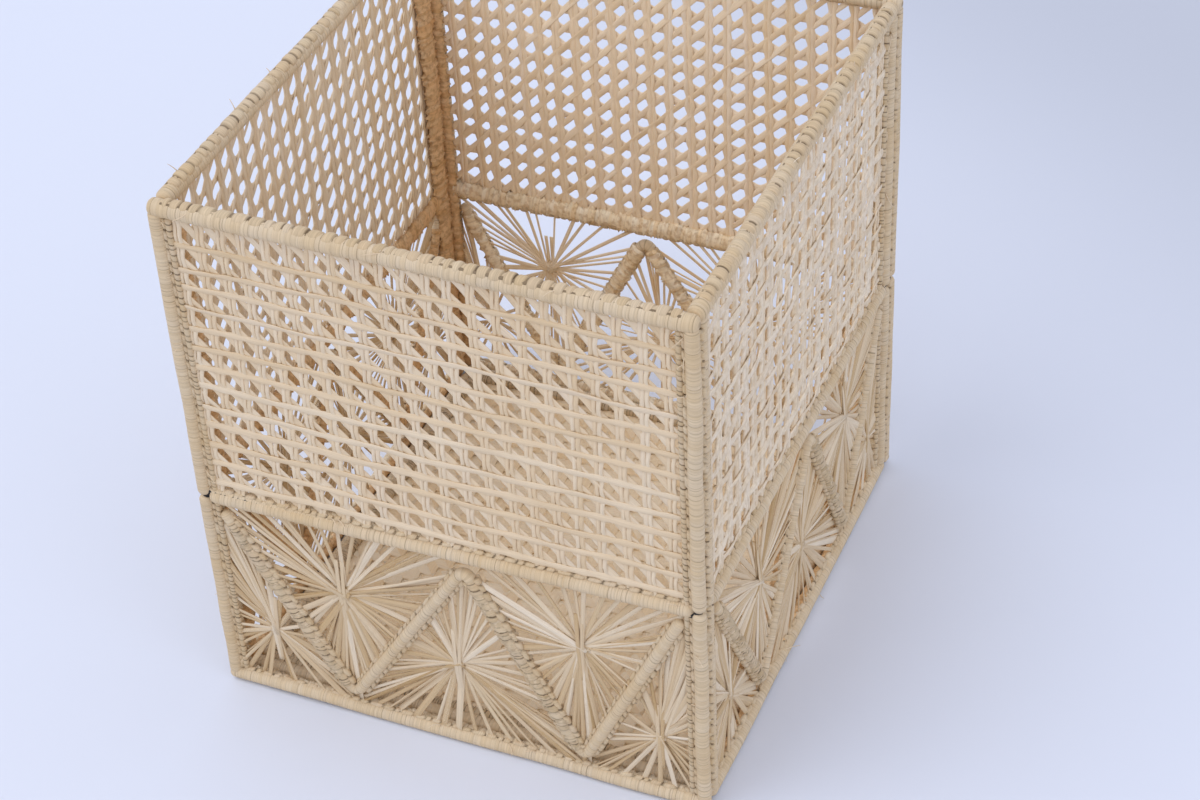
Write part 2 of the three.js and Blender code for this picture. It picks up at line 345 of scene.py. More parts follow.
@dataclass(frozen=True)
class Winding:
    """How a palm strip is wound or stitched round a core, in millimetres.

    Attributes:
        pitch: width of one turn along the core.
        groove: depth of the groove between two turns.
        slant: how far a turn leans along the core over one radius.
        uneven: spread of the turns' widths, as a share of the pitch.
        sides: points round the section.
        shoulders: shares of a turn's width at which its rings stand.
        swell: share of the groove that is filled at each of these rings.
        end_round: length over which an end is rounded off.
        rough: spread of the lumps on a turn, each on one point of the section.
    """

    pitch: float
    groove: float
    slant: float
    uneven: float
    sides: int
    shoulders: tuple[float, ...]
    swell: tuple[float, ...]
    end_round: float
    rough: float = 0.0

    def wind(
        self,
        path: np.ndarray,
        hint: np.ndarray,
        radius: float,
        rng: np.random.Generator,
        squeeze: tuple[float, float] = (1.0, 1.0),
    ) -> Surface:
        """Carries a round section along a path, with a crown on every turn and a groove between turns.

        The radius falls by the groove's depth at the edge of a turn and comes back over its shoulders, each
        ring leans along the core, and the ends follow a quarter circle. Lumps rise and fall with the crown.

        Args:
            path: points of the core, shape (points, 3), in one plane with hint square to it.
            hint: direction square to the path.
            radius: radius over the crowns.
            rng: random stream.
            squeeze: shares of the radius in the path's plane and towards hint.

        Returns:
            The closed winding.
        """
        reach = np.append(0.0, np.cumsum(np.linalg.norm(np.diff(path, axis=0), axis=1)))
        length = reach[-1]
        turns = max(2, round(length / self.pitch))
        widths = np.clip(1 + self.uneven * rng.standard_normal(turns), *TURN_LIMITS)
        edges = np.append(0.0, np.cumsum(widths)) * length / widths.sum()
        stray = np.exp(GROOVE_SPREAD * rng.standard_normal(turns + 1))
        depth = np.minimum(self.groove * np.clip(stray, *GROOVE_LIMITS), GROOVE_MOST * radius)
        bulge = BULGE_SPREAD * self.groove * rng.standard_normal((turns, 1))
        lean = self.slant * (1 + SLANT_SPREAD * rng.standard_normal((turns, 1)))
        shoulders = np.array(self.shoulders)
        drop = np.where(shoulders < 0.5, depth[:-1, None], depth[1:, None]) * (1 - np.array(self.swell))
        station = np.append(edges[:-1, None] + shoulders * np.diff(edges)[:, None], length)
        radii = radius - np.append(drop - bulge, depth[-1])
        near = np.minimum(station, length - station)
        taper = 1 - np.clip(near / self.end_round, 0, 1)
        radii = radii * np.maximum(np.sqrt(1 - taper**2), END_LEAST)
        look = LOOK_SHARE * self.pitch

        def spots(lengths: np.ndarray) -> np.ndarray:
            """Finds the path's points at lengths along it."""
            return np.stack([np.interp(lengths, reach, places) for places in path.T], axis=-1)

        tangent = unit(spots(station + look) - spots(station - look))
        side = unit(np.cross(hint, tangent))
        face = np.cross(tangent, side)
        leaning = np.append(np.broadcast_to(lean, drop.shape), 0.0) * np.clip(near / (2 * radius), 0, 1)
        side = side + leaning[:, None] * tangent
        angle, circle = round_points(self.sides)
        circle = circle * np.array(squeeze)
        section = radii[:, None, None] * circle
        if self.rough:
            lumps = self.rough * np.clip(rng.standard_normal((turns, 1, self.sides)), *LUMP_LIMITS)
            lumps = lumps * np.array(self.swell)[:, None]
            lumps = np.append(lumps.reshape(-1, self.sides), np.zeros((1, self.sides)), axis=0)
            section = section + (lumps * (1 - taper[:, None]))[..., None] * circle
        along = np.append(np.arange(turns)[:, None] + shoulders, turns)
        return carry(
            spots(station)[None], side[None], face[None], section[None], along[None], angle * radius,
            rng.uniform(size=1), closing=2 * np.pi * radius,
        )


# Shoulders and swell of a turn: a broad crown, a plain lump, and a hook between two open gaps
CROWN = ((0.0, 0.13, 0.5, 0.87), (0.0, 0.85, 1.0, 0.85))
LUMP = ((0.0, 0.5), (0.0, 1.0))
HOOK = ((0.0, 0.1, 0.16, 0.3, 0.5, 0.7, 0.84, 0.9), (0.0, 0.05, 0.75, 0.95, 1.0, 0.95, 0.75, 0.05))
RAIL_WINDING = Winding(1.1, 0.06, 0.04, 0.3, 16, *CROWN, end_round=1.5)
POST_WINDING = Winding(1.15, 0.06, 0.05, 0.3, 16, *CROWN, end_round=1.5)
ZIGZAG_WINDING = Winding(1.15, 0.06, 0.12, 0.3, 12, *CROWN, end_round=1.2)
COLUMN_WINDING = Winding(1.6, 0.1, 0.3, 0.3, 8, *CROWN, end_round=0.6)
RIM_HOOKS = Winding(3.0, 0.42, 0.12, 0.2, 14, *HOOK, end_round=1.2)
EDGE_HOOKS = Winding(2.9, 0.4, 0.5, 0.3, 8, *HOOK, end_round=0.6)
LEG_HOOKS = Winding(2.7, 0.42, 0.6, 0.25, 8, *HOOK, end_round=0.6)
LACE_HOOKS = Winding(2.6, 0.45, 0.3, 0.28, 10, *HOOK, end_round=0.8)
LEG_KNOBS = Winding(1.4, 0.24, 0.3, 0.55, 12, *LUMP, end_round=0.9, rough=0.36)
INNER_KNOTS = Winding(1.1, 0.1, 0.15, 0.4, 14, *LUMP, end_round=0.8, rough=0.36)


@dataclass(frozen=True)
class PalmFinish:
    """Dried palm leaf, split into strips and worked by hand.

    It gives the eye fine lengthwise fibres with a dull waxy shine, a new shade of straw on every strip, and
    painted shadow in the grooves where two turns or stitches meet.

    Attributes:
        name: material's name.
        layout: how it reads the strip coordinates.
        shades: straw shades that strips are drawn from.
        gap_shadow_colour: colour of the painted shadow down in a groove.
        gap_share: share of a turn, from its edge, that the groove's painted shadow reaches.
        gap_depth: how much of the painted shadow shows, from the shallowest to the deepest groove.
        gap_start: share of the grooves that show as little as the shallowest one.
        pitch: width of a turn in millimetres, 1 on a flat strip.
        patch_and_pit_shadow: shade of sun-browned patches; on the knots, of flecks painted as shade in their
            pits.
        patch_size: size of these patches in millimetres.
        patch_depth: how much of it shows at most.
        patch_edge: noise levels at which a patch starts and is full; close together for hard specks.
        fibre_width: width of a fibre in millimetres, drawn twice as coarse as real so that it shows.
        fibre_length: length of a fibre in millimetres.
        fibre_depth: how much darker a fibre's hollow is.
        fibre_levels: noise levels of a fibre's hollow and ridge.
        fibre_relief: height of the fibres in millimetres.
        lot_step: how far apart the grain of two strips is taken, at most.
        roughness: mean roughness of the waxy skin.
        skin_levels: noise levels at which the skin is roughest and smoothest.
        skin_spread: how much rougher and smoother it is there.
    """

    name: str
    layout: Layout
    shades: tuple[str, ...]
    gap_shadow_colour: str = "#6B5230"
    gap_share: float = 0.12
    gap_depth: tuple[float, float] = (0.08, 0.8)
    gap_start: float = 0.6
    pitch: float = 1.0
    patch_and_pit_shadow: str = "#C9A468"
    patch_size: float = 16.0
    patch_depth: float = 0.35
    patch_edge: tuple[float, float] = (0.45, 0.75)
    fibre_width: float = 0.22
    fibre_length: float = 9.0
    fibre_depth: float = 0.2
    fibre_levels: tuple[float, float] = (0.3, 0.7)
    fibre_relief: float = 0.06
    lot_step: float = 60.0
    roughness: float = 0.55
    skin_levels: tuple[float, float] = (0.25, 0.75)
    skin_spread: tuple[float, float] = (0.1, 0.08)

    def material(self) -> bpy.types.Material:
        """Builds the node tree: shade of the strip, fibres, patches, then the painted shadow in the grooves.
        """
        material = bpy.data.materials.new(self.name)
        tree = empty_tree(material)
        strip = add_node(tree, "ShaderNodeUVMap", {"uv_map": STRIP_UV})
        split = add_node(tree, "ShaderNodeSeparateXYZ", inputs={"Vector": strip.outputs["UV"]})
        tint = add_node(tree, "ShaderNodeAttribute", {"attribute_name": TINT})
        wound = self.layout is Layout.WOUND
        key = add_node(tree, "ShaderNodeCombineXYZ", inputs={"Y": tint.outputs["Fac"]})
        lengthwise, crosswise = split.outputs["X"], split.outputs["Y"]
        if wound:
            turn = add_node(tree, "ShaderNodeMath", {"operation": "FLOOR"}, {0: split.outputs["X"]})
            tree.links.new(turn.outputs[0], key.inputs["X"])
            lengthwise, crosswise = split.outputs["Y"], split.outputs["X"]
        lot = add_node(
            tree, "ShaderNodeTexWhiteNoise", {"noise_dimensions": "2D"}, {"Vector": key.outputs[0]}
        )
        lots = add_node(tree, "ShaderNodeSeparateColor", inputs={"Color": lot.outputs["Color"]})
        shade = add_node(tree, "ShaderNodeValToRGB", inputs={"Fac": lots.outputs["Red"]})
        ramp = shade.color_ramp.elements
        ramp[0].color = hex_linear(self.shades[0])
        ramp[1].color = hex_linear(self.shades[-1])
        for number, code in enumerate(self.shades[1:-1], start=1):
            ramp.new(number / (len(self.shades) - 1)).color = hex_linear(code)
        long_share = add_node(
            tree, "ShaderNodeMath", {"operation": "DIVIDE"}, {0: lengthwise, 1: self.fibre_length}
        )
        wide_share = add_node(
            tree, "ShaderNodeMath", {"operation": "MULTIPLY"},
            {0: crosswise, 1: self.pitch / self.fibre_width},
        )
        apart = add_node(
            tree, "ShaderNodeMath", {"operation": "MULTIPLY"}, {0: lots.outputs["Green"], 1: self.lot_step}
        )
        grain_place = add_node(
            tree, "ShaderNodeCombineXYZ",
            inputs={"X": long_share.outputs[0], "Y": wide_share.outputs[0], "Z": apart.outputs[0]},
        )
        grain = add_node(
            tree, "ShaderNodeTexNoise", {"noise_dimensions": "3D"},
            {"Vector": grain_place.outputs[0], "Scale": 1.0, "Detail": 2.0, "Roughness": 0.6},
        )
        fibre = add_node(
            tree, "ShaderNodeMapRange",
            inputs={
                "Value": grain.outputs[0], "From Min": self.fibre_levels[0], "From Max": self.fibre_levels[1],
                "To Min": 1 - self.fibre_depth, "To Max": 1.0,
            },
        )
        fibred = add_node(
            tree, "ShaderNodeMix", {"data_type": "RGBA", "blend_type": "MULTIPLY"},
            {0: 1.0, 6: shade.outputs["Color"], 7: fibre.outputs[0]},
        )
        # Sun-browned patches; on the knots, hard flecks that are painted shade of the pits between knots
        place = add_node(tree, "ShaderNodeTexCoord")
        patch = add_node(
            tree, "ShaderNodeTexNoise", {"noise_dimensions": "3D"},
            {"Vector": place.outputs["Object"], "Scale": 1 / (self.patch_size * MM), "Detail": 1.0},
        )
        patches = add_node(
            tree, "ShaderNodeMapRange",
            inputs={
                "Value": patch.outputs[0], "From Min": self.patch_edge[0], "From Max": self.patch_edge[1],
                "To Min": 0.0, "To Max": self.patch_depth,
            },
        )
        colour = add_node(
            tree, "ShaderNodeMix", {"data_type": "RGBA"},
            {0: patches.outputs[0], 6: fibred.outputs[2], 7: hex_linear(self.patch_and_pit_shadow)},
        )
        # Painted shadow: each turn darkens towards its edges, standing for the shade down in the groove
        if wound:
            edge = add_node(
                tree, "ShaderNodeMath", {"operation": "PINGPONG"}, {0: split.outputs["X"], 1: 0.5}
            )
            number = add_node(tree, "ShaderNodeMath", {"operation": "ROUND"}, {0: split.outputs["X"]})
            gap_key = add_node(
                tree, "ShaderNodeCombineXYZ", inputs={"X": number.outputs[0], "Y": tint.outputs["Fac"]}
            )
            gap_lot = add_node(
                tree, "ShaderNodeTexWhiteNoise", {"noise_dimensions": "2D"}, {"Vector": gap_key.outputs[0]}
            )
            darkness = add_node(
                tree, "ShaderNodeMapRange",
                inputs={
                    "Value": gap_lot.outputs["Value"], "From Min": self.gap_start, "From Max": 1.0,
                    "To Min": self.gap_depth[0], "To Max": self.gap_depth[1],
                },
            )
            groove = add_node(
                tree, "ShaderNodeMapRange", {"interpolation_type": "SMOOTHSTEP"},
                {
                    "Value": edge.outputs[0], "From Min": 0.0, "From Max": self.gap_share,
                    "To Min": darkness.outputs[0], "To Max": 0.0,
                },
            )
            colour = add_node(
                tree, "ShaderNodeMix", {"data_type": "RGBA"},
                {0: groove.outputs[0], 6: colour.outputs[2], 7: hex_linear(self.gap_shadow_colour)},
            )
        skin = add_node(
            tree, "ShaderNodeMapRange",
            inputs={
                "Value": grain.outputs[0], "From Min": self.skin_levels[0], "From Max": self.skin_levels[1],
                "To Min": self.roughness + self.skin_spread[0],
                "To Max": self.roughness - self.skin_spread[1],
            },
        )
        relief = add_node(
            tree, "ShaderNodeBump",
            inputs={"Strength": 0.5, "Distance": self.fibre_relief * MM, "Height": grain.outputs[0]},
        )
        shader = add_node(
            tree, "ShaderNodeBsdfPrincipled",
            inputs={
                "Base Color": colour.outputs[2], "Roughness": skin.outputs[0], "IOR": 1.5,
                "Specular IOR Level": 0.3, "Normal": relief.outputs[0],
            },
        )
        add_node(tree, "ShaderNodeOutputMaterial", inputs={"Surface": shader.outputs[0]})
        return material


@dataclass(frozen=True)
class WireFinish:
    """Annealed steel wire: a black oxide skin with a few worn grey spots, seen only in gaps of the wraps.

    Attributes:
        name: material's name.
        bright: shade of the worn spots.
        dull: shade of the oxide.
        blotch_size: size of the spots in millimetres.
    """

    name: str
    bright: str
    dull: str
    blotch_size: float

    def material(self) -> bpy.types.Material:
        """Builds the node tree: oxide blotches change the shade and the roughness."""
        material = bpy.data.materials.new(self.name)
        tree = empty_tree(material)
        place = add_node(tree, "ShaderNodeTexCoord")
        blotch = add_node(
            tree, "ShaderNodeTexNoise", {"noise_dimensions": "3D"},
            {"Vector": place.outputs["Object"], "Scale": 1 / (self.blotch_size * MM), "Detail": 4.0},
        )
        shade = add_node(
            tree, "ShaderNodeMix", {"data_type": "RGBA"},
            {0: blotch.outputs[0], 6: hex_linear(self.bright), 7: hex_linear(self.dull)},
        )
        rough = add_node(
            tree, "ShaderNodeMapRange", inputs={"Value": blotch.outputs[0], "To Min": 0.3, "To Max": 0.65}
        )
        shader = add_node(
            tree, "ShaderNodeBsdfPrincipled",
            inputs={"Base Color": shade.outputs[2], "Roughness": rough.outputs[0], "Metallic": 1.0},
        )
        add_node(tree, "ShaderNodeOutputMaterial", inputs={"Surface": shader.outputs[0]})
        return material


STRAW = ("#E8D1AC", "#E4CBA4", "#E1C79E", "#E6CFAB", "#E4CDA9")
# Wound round the rods: close turns of pale straw, with thin lines of painted shadow between them
ROD_FINISH = PalmFinish(
    "wound_palm_strip", Layout.WOUND, STRAW, pitch=1.1, gap_share=0.16, gap_depth=(0.08, 0.65),
    patch_depth=0.28, fibre_depth=0.26,
)
# Hooked stitches: broad turns with deep brown painted shadow in the gap after each
STITCH_FINISH = PalmFinish(
    "stitched_palm_strip", Layout.WOUND, ("#E6CFAA", "#E1C8A0", "#DCC097", "#E4CCA8", "#D8BC90"),
    pitch=3.0, gap_shadow_colour="#553F22", gap_share=0.2, gap_depth=(0.35, 1.0), gap_start=0.1,
    patch_depth=0.3, fibre_depth=0.3,
)
# Inner knots: warm straw, partly their own colour and partly painted shade of the deep corners; short fibres;
# hard brown flecks of painted shade in their pits
KNOT_FINISH = PalmFinish(
    "knotted_palm_strip", Layout.WOUND, ("#EDC796", "#E9BE89", "#E3B47C", "#EBC491", "#DCAD72"),
    pitch=1.1, gap_shadow_colour="#A9804C", gap_share=0.3, gap_depth=(0.0, 0.4), gap_start=0.4,
    patch_and_pit_shadow="#9A6C36", patch_size=1.3, patch_depth=0.42, patch_edge=(0.48, 0.64),
    fibre_width=0.3, fibre_length=2.5, fibre_depth=0.18,
)
# The same knots made paler: painted light standing for the glow of light through the back wall's palm
PAINTED_LIGHT_KNOT_FINISH = replace(
    KNOT_FINISH, name="knotted_palm_strip_painted_light",
    shades=("#FFEFD0", "#FDE8C3", "#F9DFB3", "#FEEBC8", "#F5D6A5"),
    gap_shadow_colour="#B58E58", gap_depth=(0.0, 0.35), patch_and_pit_shadow="#B4854A", patch_depth=0.4, fibre_depth=0.15,
)
# Cane strands: long fine fibres, nearly one shade
CANE_FINISH = PalmFinish(
    "woven_palm_cane", Layout.FLAT, ("#EFDBBB", "#ECD4B0", "#E7CCA4", "#EDD8B7", "#EAD4B4", "#E3C79D"),
    fibre_length=14.0, fibre_depth=0.16, patch_depth=0.15,
)
# Cane made brighter as painted light on the right wall, which the lamps leave darker, with small grey-brown
# specks
SPECKLED_PAINTED_LIGHT_CANE_FINISH = PalmFinish(
    "woven_speckled_palm_cane_painted_light", Layout.FLAT,
    ("#F9E9CE", "#F5E1C1", "#EED6B2", "#F7E5C9", "#F2DFC3", "#E8D0AC"), fibre_length=5.0, fibre_depth=0.2,
    patch_and_pit_shadow="#B79A6C", patch_size=1.6, patch_depth=0.3, patch_edge=(0.45, 0.66),
)
# Cane made paler: painted light standing for the glow of light through the back wall's palm
PAINTED_LIGHT_CANE_FINISH = replace(
    CANE_FINISH, name="woven_palm_cane_painted_light",
    shades=("#FCE8C9", "#F9E1BC", "#F5DAB1", "#FAE5C5", "#F8E1C1", "#F1D4A8"),
    fibre_depth=0.14, patch_depth=0.12,
)
# Fan strips: long fibres, with light and dark strips side by side
FAN_FINISH = PalmFinish(
    "fanned_palm_strip", Layout.FLAT, ("#F6E5C9", "#E8D0AA", "#D1B182", "#F0DCBC", "#DDC197", "#C3A06D"),
    fibre_length=16.0, fibre_depth=0.22, patch_depth=0.2,
)
# Fan strips made paler: painted light standing for the glow of light through the back wall's palm
PAINTED_LIGHT_FAN_FINISH = replace(
    FAN_FINISH, name="fanned_palm_strip_painted_light",
    shades=("#FBE9CB", "#F7E0BB", "#F0D5A9", "#F9E5C5", "#F3DBB5", "#E9C99C"),
    fibre_depth=0.16, patch_depth=0.15,
)
# Plaited floor: broad dull strips, the palest of all
MAT_FINISH = PalmFinish(
    "plaited_palm_mat", Layout.FLAT, ("#FFEBC6", "#FDE4BA", "#FFEFD0", "#FADDAE"), patch_depth=0.12,
    fibre_length=18.0, fibre_width=0.3, fibre_depth=0.12, roughness=0.6,
)
WIRE_FINISH = WireFinish("annealed_black_wire", "#4A4A4C", "#1E1C1B", 3.0)

# Sides of a tube of painted shadow, and the place in a turn whose painted shadow colour it takes
SHADOW_TUBE_SIDES = 8
SHADOW_TUBE_TURN = 0.07
# How far a rod strays in millimetres, between how many places, and the points along it and round a bend
ROD_SWAY = 0.16
SWAY_KNOTS = 7
SWAY_POINTS = 61
CORNER_POINTS = 9


def box_mm(node: str) -> tuple[np.ndarray, np.ndarray]:
    """Gives a CAD node's lowest and highest corners in millimetres."""
    low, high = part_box(node)
    return np.array(low) / MM, np.array(high) / MM


def line(*points: Sequence[float]) -> np.ndarray:
    """Puts points into a path."""
    return np.array(points, dtype=float)


def hollow(path: np.ndarray, hint: np.ndarray, radius: float) -> Surface:
    """Lays a thin dark tube of painted shadow behind a row of stitches, seen only where two of them part.

    It is a round tube whose strip coordinates all stand by the edge of a turn, so it takes most of the gap's
    painted shadow colour.

    Args:
        path: the two ends, shape (2, 3).
        hint: direction square to the path.
        radius: the tube's radius.

    Returns:
        The closed tube.
    """
    ahead = np.tile(unit(path[1] - path[0]), (2, 1))
    side = unit(np.cross(hint, ahead))
    angle, circle = round_points(SHADOW_TUBE_SIDES)
    section = np.tile(radius * circle, (1, 2, 1, 1))
    along = np.full((1, 2), SHADOW_TUBE_TURN)
    return carry(path[None], side[None], np.cross(ahead, side)[None], section, along, angle, np.zeros(1))


def wavering(path: np.ndarray, rng: np.random.Generator) -> np.ndarray:
    """Bends a straight path a little, as handwork does: smooth cubic steps between random offsets.

    Args:
        path: the two ends, shape (2, 3).
        rng: random stream.

    Returns:
        The bent path, with its ends in place.
    """
    offsets = ROD_SWAY * rng.standard_normal((SWAY_KNOTS, 3))
    offsets[[0, -1]] = 0.0
    share = np.linspace(0, 1, SWAY_POINTS)
    place = share * (SWAY_KNOTS - 1)
    before = np.minimum(place.astype(int), SWAY_KNOTS - 2)
    part = (place - before)[:, None]
    eased = part**2 * (3 - 2 * part)
    bend = offsets[before] * (1 - eased) + offsets[before + 1] * eased
    ahead = unit(path[1] - path[0])
    bend = bend - (bend @ ahead)[:, None] * ahead
    return path[0] + share[:, None] * (path[1] - path[0]) + bend


def rounded(points: np.ndarray, cut: float) -> np.ndarray:
    """Rounds the inner corners of a path: from cut before a corner to cut after it along a quadratic curve.

    Args:
        points: corners of the path, shape (corners, 3).
        cut: distance from a corner at which the rounding starts.

    Returns:
        The rounded path.
    """
    before = points[1:-1] + cut * unit(points[:-2] - points[1:-1])
    after = points[1:-1] + cut * unit(points[2:] - points[1:-1])
    bends = bent(before, points[1:-1], after, CORNER_POINTS)
    return np.concatenate([points[:1], bends.reshape(-1, 3), points[-1:]])


@dataclass(frozen=True)
class Row:
    """A row of stitches along a rod, in millimetres.

    Attributes:
        winding: how it is stitched.
        radius: radius over the crowns of its stitches.
        aside: distance from the rod's axis or edge, in the wall's plane.
        outward: distance outside the wall's middle plane.
        squeeze: shares of the radius across the path and towards the row's hint.
    """

    winding: Winding
    radius: float
    aside: float = 0.0
    outward: float = 0.0
    squeeze: tuple[float, float] = (1.0, 1.0)

    def stitch(self, path: np.ndarray, hint: np.ndarray, rng: np.random.Generator) -> Surface:
        """Stitches the row along a path, with its stitches looking to hint."""
        return self.winding.wind(path, hint, self.radius, rng, self.squeeze)


RIM_ROW = Row(RIM_HOOKS, 1.4, 1.28, -0.3, (1.25, 1.0))
RIM_EDGE_ROW = Row(EDGE_HOOKS, 0.6, outward=-0.1)
RAIL_ROW = Row(EDGE_HOOKS, 0.75, 0.15, 0.1)
RAIL_UNDER_ROW = Row(EDGE_HOOKS, 0.7, 0.15, 0.1)
POST_ROWS = (Row(EDGE_HOOKS, 0.78, 0.15, 0.2), Row(COLUMN_WINDING, 0.85, 1.35, 0.2))
FALLING_ROWS = (Row(LEG_HOOKS, 0.85, -1.7, 0.5), Row(LEG_HOOKS, 0.85, 1.7, 0.5))
RISING_ROWS = (Row(LEG_HOOKS, 0.8, -1.75, 0.3), Row(LEG_HOOKS, 0.65, 1.7, 0.1))
KNOB_ROWS = (Row(LEG_KNOBS, 1.7, 0.0, 0.5, (1.05, 1.0)),)
INNER_LEG_ROWS = (Row(INNER_KNOTS, 1.55, 0.0, -0.6, (1.3, 0.85)),)
# The tube of painted shadow under the rim's stitches: height over the rail's axis, place outwards and radius
RIM_SHADOW_RISE = 1.66
RIM_SHADOW_OUT = 0.62
RIM_SHADOW_RADIUS = 0.5
# Bands of knots on the inner side: radius, flatness, places inwards on rails and posts, and breadths on rails
BAND = 1.6
BAND_FLAT = 0.85
RAIL_BAND_IN = 0.75
POST_BAND_IN = 1.2
MID_BAND_BROAD = 1.6
LOW_BAND_BROAD = 1.0
LOW_BAND_RISE = 0.7
# Ends of the rods: the mid rail's reach into a post, the bottom rail's rise and the drop of a post's top
RAIL_OVERLAP = 0.3
FOOT_RISE = 0.34
POST_DROP = 0.5
# Gaps at the ends of rows on rails and on the zigzag's legs, and the length of the zigzag's bends
ROW_GAP = 0.4
LEG_GAP = 3.0
ZIGZAG_CUT = 4.0


@dataclass(frozen=True)
class Waver:
    """A sine along a strand: size * sin(place / length + phase), in millimetres or radians.

    Attributes:
        size: height of its crests.
        length: distance over which its angle grows by one radian.
    """

    size: float
    length: float

    def along(self, place: np.ndarray, phase: np.ndarray, share: float = 1.0) -> np.ndarray:
        """Gives the sine at places on a strand, with its crests at a share of their height."""
        return share * self.size * np.sin(place / self.length + phase)


@dataclass(frozen=True)
class WeaverHand:
    """How a hand lays the strands of a weave, in millimetres, radians, steps or shares of a width.

    Attributes:
        phases: range that the waves' phases are drawn from.
        twist_spread: spread of the strands' twists.
        pair_spread: spread of the upright pairs' places.
        pair_wander: slow wave of a pair.
        pair_stagger: how far one strip of a pair lies in and the other one out.
        strip_quiver: quick wave of one strip of a pair.
        strip_roll: twist along a strip of a pair.
        strip_spread: spread of the strips' widths.
        cross_spread: spread of the cross strands' heights.
        cross_sway: slow wave of a cross strand.
        cross_quiver: quick wave of a cross strand.
        cross_rise: how far a cross strand rises at each pair and falls between two.
        cross_press: how far it comes out at each pair and goes in between two.
        cross_lift: spread of the cross strands' places outwards.
        cross_uneven: spread of their widths.
        cross_roll: twist along a cross strand.
        plain_out: place outwards of a cross strand in a plain weave.
        plain_wave: how far it comes out at one pair there and goes in at the next.
        plain_lift: spread of these places.
        foot_spread: spread of the diagonals' places.
        diagonal_quiver: quick wave of a diagonal.
        diagonal_in: place inwards of a diagonal.
        diagonal_press: how far it comes out at each pair and goes in between two.
        diagonal_lift: spread of these places.
        diagonal_spread: spread of the diagonals' widths.
        diagonal_roll: twist along a diagonal.
    """

    phases: tuple[float, float] = (0.0, 6.3)
    twist_spread: float = 0.14
    pair_spread: float = 0.16
    pair_wander: Waver = Waver(0.3, 17.0)
    pair_stagger: float = 0.03
    strip_quiver: Waver = Waver(0.07, 1.9)
    strip_roll: Waver = Waver(0.1, 5.0)
    strip_spread: float = 0.07
    cross_spread: float = 0.26
    cross_sway: Waver = Waver(0.32, 15.0)
    cross_quiver: Waver = Waver(0.2, 4.1)
    cross_rise: float = 0.12
    cross_press: float = 0.13
    cross_lift: float = 0.04
    cross_uneven: float = 0.09
    cross_roll: Waver = Waver(0.14, 4.0)
    plain_out: float = 0.22
    plain_wave: float = 0.2
    plain_lift: float = 0.06
    foot_spread: float = 0.035
    diagonal_quiver: Waver = Waver(0.1, 2.1)
    diagonal_in: float = 0.1
    diagonal_press: float = 0.1
    diagonal_lift: float = 0.03
    diagonal_spread: float = 0.08
    diagonal_roll: Waver = Waver(0.12, 4.0)


@dataclass(frozen=True)
class Strands:
    """Flat strands of one direction of a weave.

    Attributes:
        paths: points of their middles in millimetres, shape (strands, rings, 3).
        width: their widths, broadcast to the paths.
        thick: their thickness.
        twist: turn about the path in radians, broadcast to the paths.
    """

    paths: np.ndarray
    width: np.ndarray
    thick: float
    twist: np.ndarray

    def surface(self, rng: np.random.Generator) -> Surface:
        """Makes the strands, each with a tint of its own."""
        tint = rng.uniform(size=len(self.paths))
        return ribbons(self.paths, OUTWARD, self.width, self.thick, tint, self.twist)


# How far strands of the weave are tucked behind the rods below, above and beside them, in millimetres
TUCK_LOW = 1.6
TUCK_HIGH = 1.4
TUCK_SIDE = 1.0
# Rings of a strand for each step of the weave, and those of its ends
STEP_RINGS = 8
UPRIGHT_END_RINGS = 5
CROSS_END_RINGS = 9
DIAGONAL_RINGS = 6
# Even steps beyond the outer pairs, those that diagonals may need, and diagonals that start out there
OUTER_STEPS = 3
FAR_STEPS = 40
OUTER_DIAGONALS = 2
# Shortest diagonal, in steps
SHORTEST_DIAGONAL = 0.5


@dataclass(frozen=True)
class Loom:
    """Places of a weave's strands on its panel, in millimetres.

    Attributes:
        first: planned place of the first upright pair.
        last: planned place of the last one.
        upright: places of the pairs.
        cross: heights of the cross strands at the panel's middle.
        step_x: even step between two pairs.
        step_z: step between two cross strands.
        low: height of the strands' lower ends.
        high: height of their upper ends.
        side: distance of their side ends from the middle.
    """

    first: float
    last: float
    upright: np.ndarray
    cross: np.ndarray
    step_x: float
    step_z: float
    low: float
    high: float
    side: float

    def across(self, x: np.ndarray) -> np.ndarray:
        """Counts steps from the first upright pair, going on evenly beyond the outer ones.

        Args:
            x: places on the panel.

        Returns:
            The number of steps at each place.
        """
        beyond = OUTER_STEPS * self.step_x
        known = np.concatenate([[self.first - beyond], self.upright, [self.last + beyond]])
        pairs = len(self.upright)
        steps = np.concatenate([[-OUTER_STEPS], np.arange(pairs), [pairs - 1 + OUTER_STEPS]])
        return np.interp(x, known, steps)


@dataclass(frozen=True)
class FibreEnds:
    """How fibre ends stand out of the rods, in millimetres or shares of their length.

    Attributes:
        count: number of ends on each rail and post.
        length: shortest and longest end.
        width: width at the root.
        thick: thickness.
        thinning: share of the width that is lost at the tip.
        sink: how far a root sits under a post's skin.
        rim_sink: how far it sits under the rim's.
        outward: place of the roots outside the wall's middle plane.
        span: share of a rod along which they stand.
        lean: least and most that they lean outwards.
        bend: share of the length at which they bend.
        droop: how far a tip droops.
        stray: how far it strays.
        rings: rings of a strip.
    """

    count: int = 7
    length: tuple[float, float] = (1.2, 3.8)
    width: float = 0.32
    thick: float = 0.14
    thinning: float = 0.75
    sink: float = 0.2
    rim_sink: float = 0.4
    outward: float = 0.9
    span: float = 0.95
    lean: tuple[float, float] = (0.2, 0.7)
    bend: float = 0.6
    droop: float = 0.25
    stray: float = 0.3
    rings: int = 5


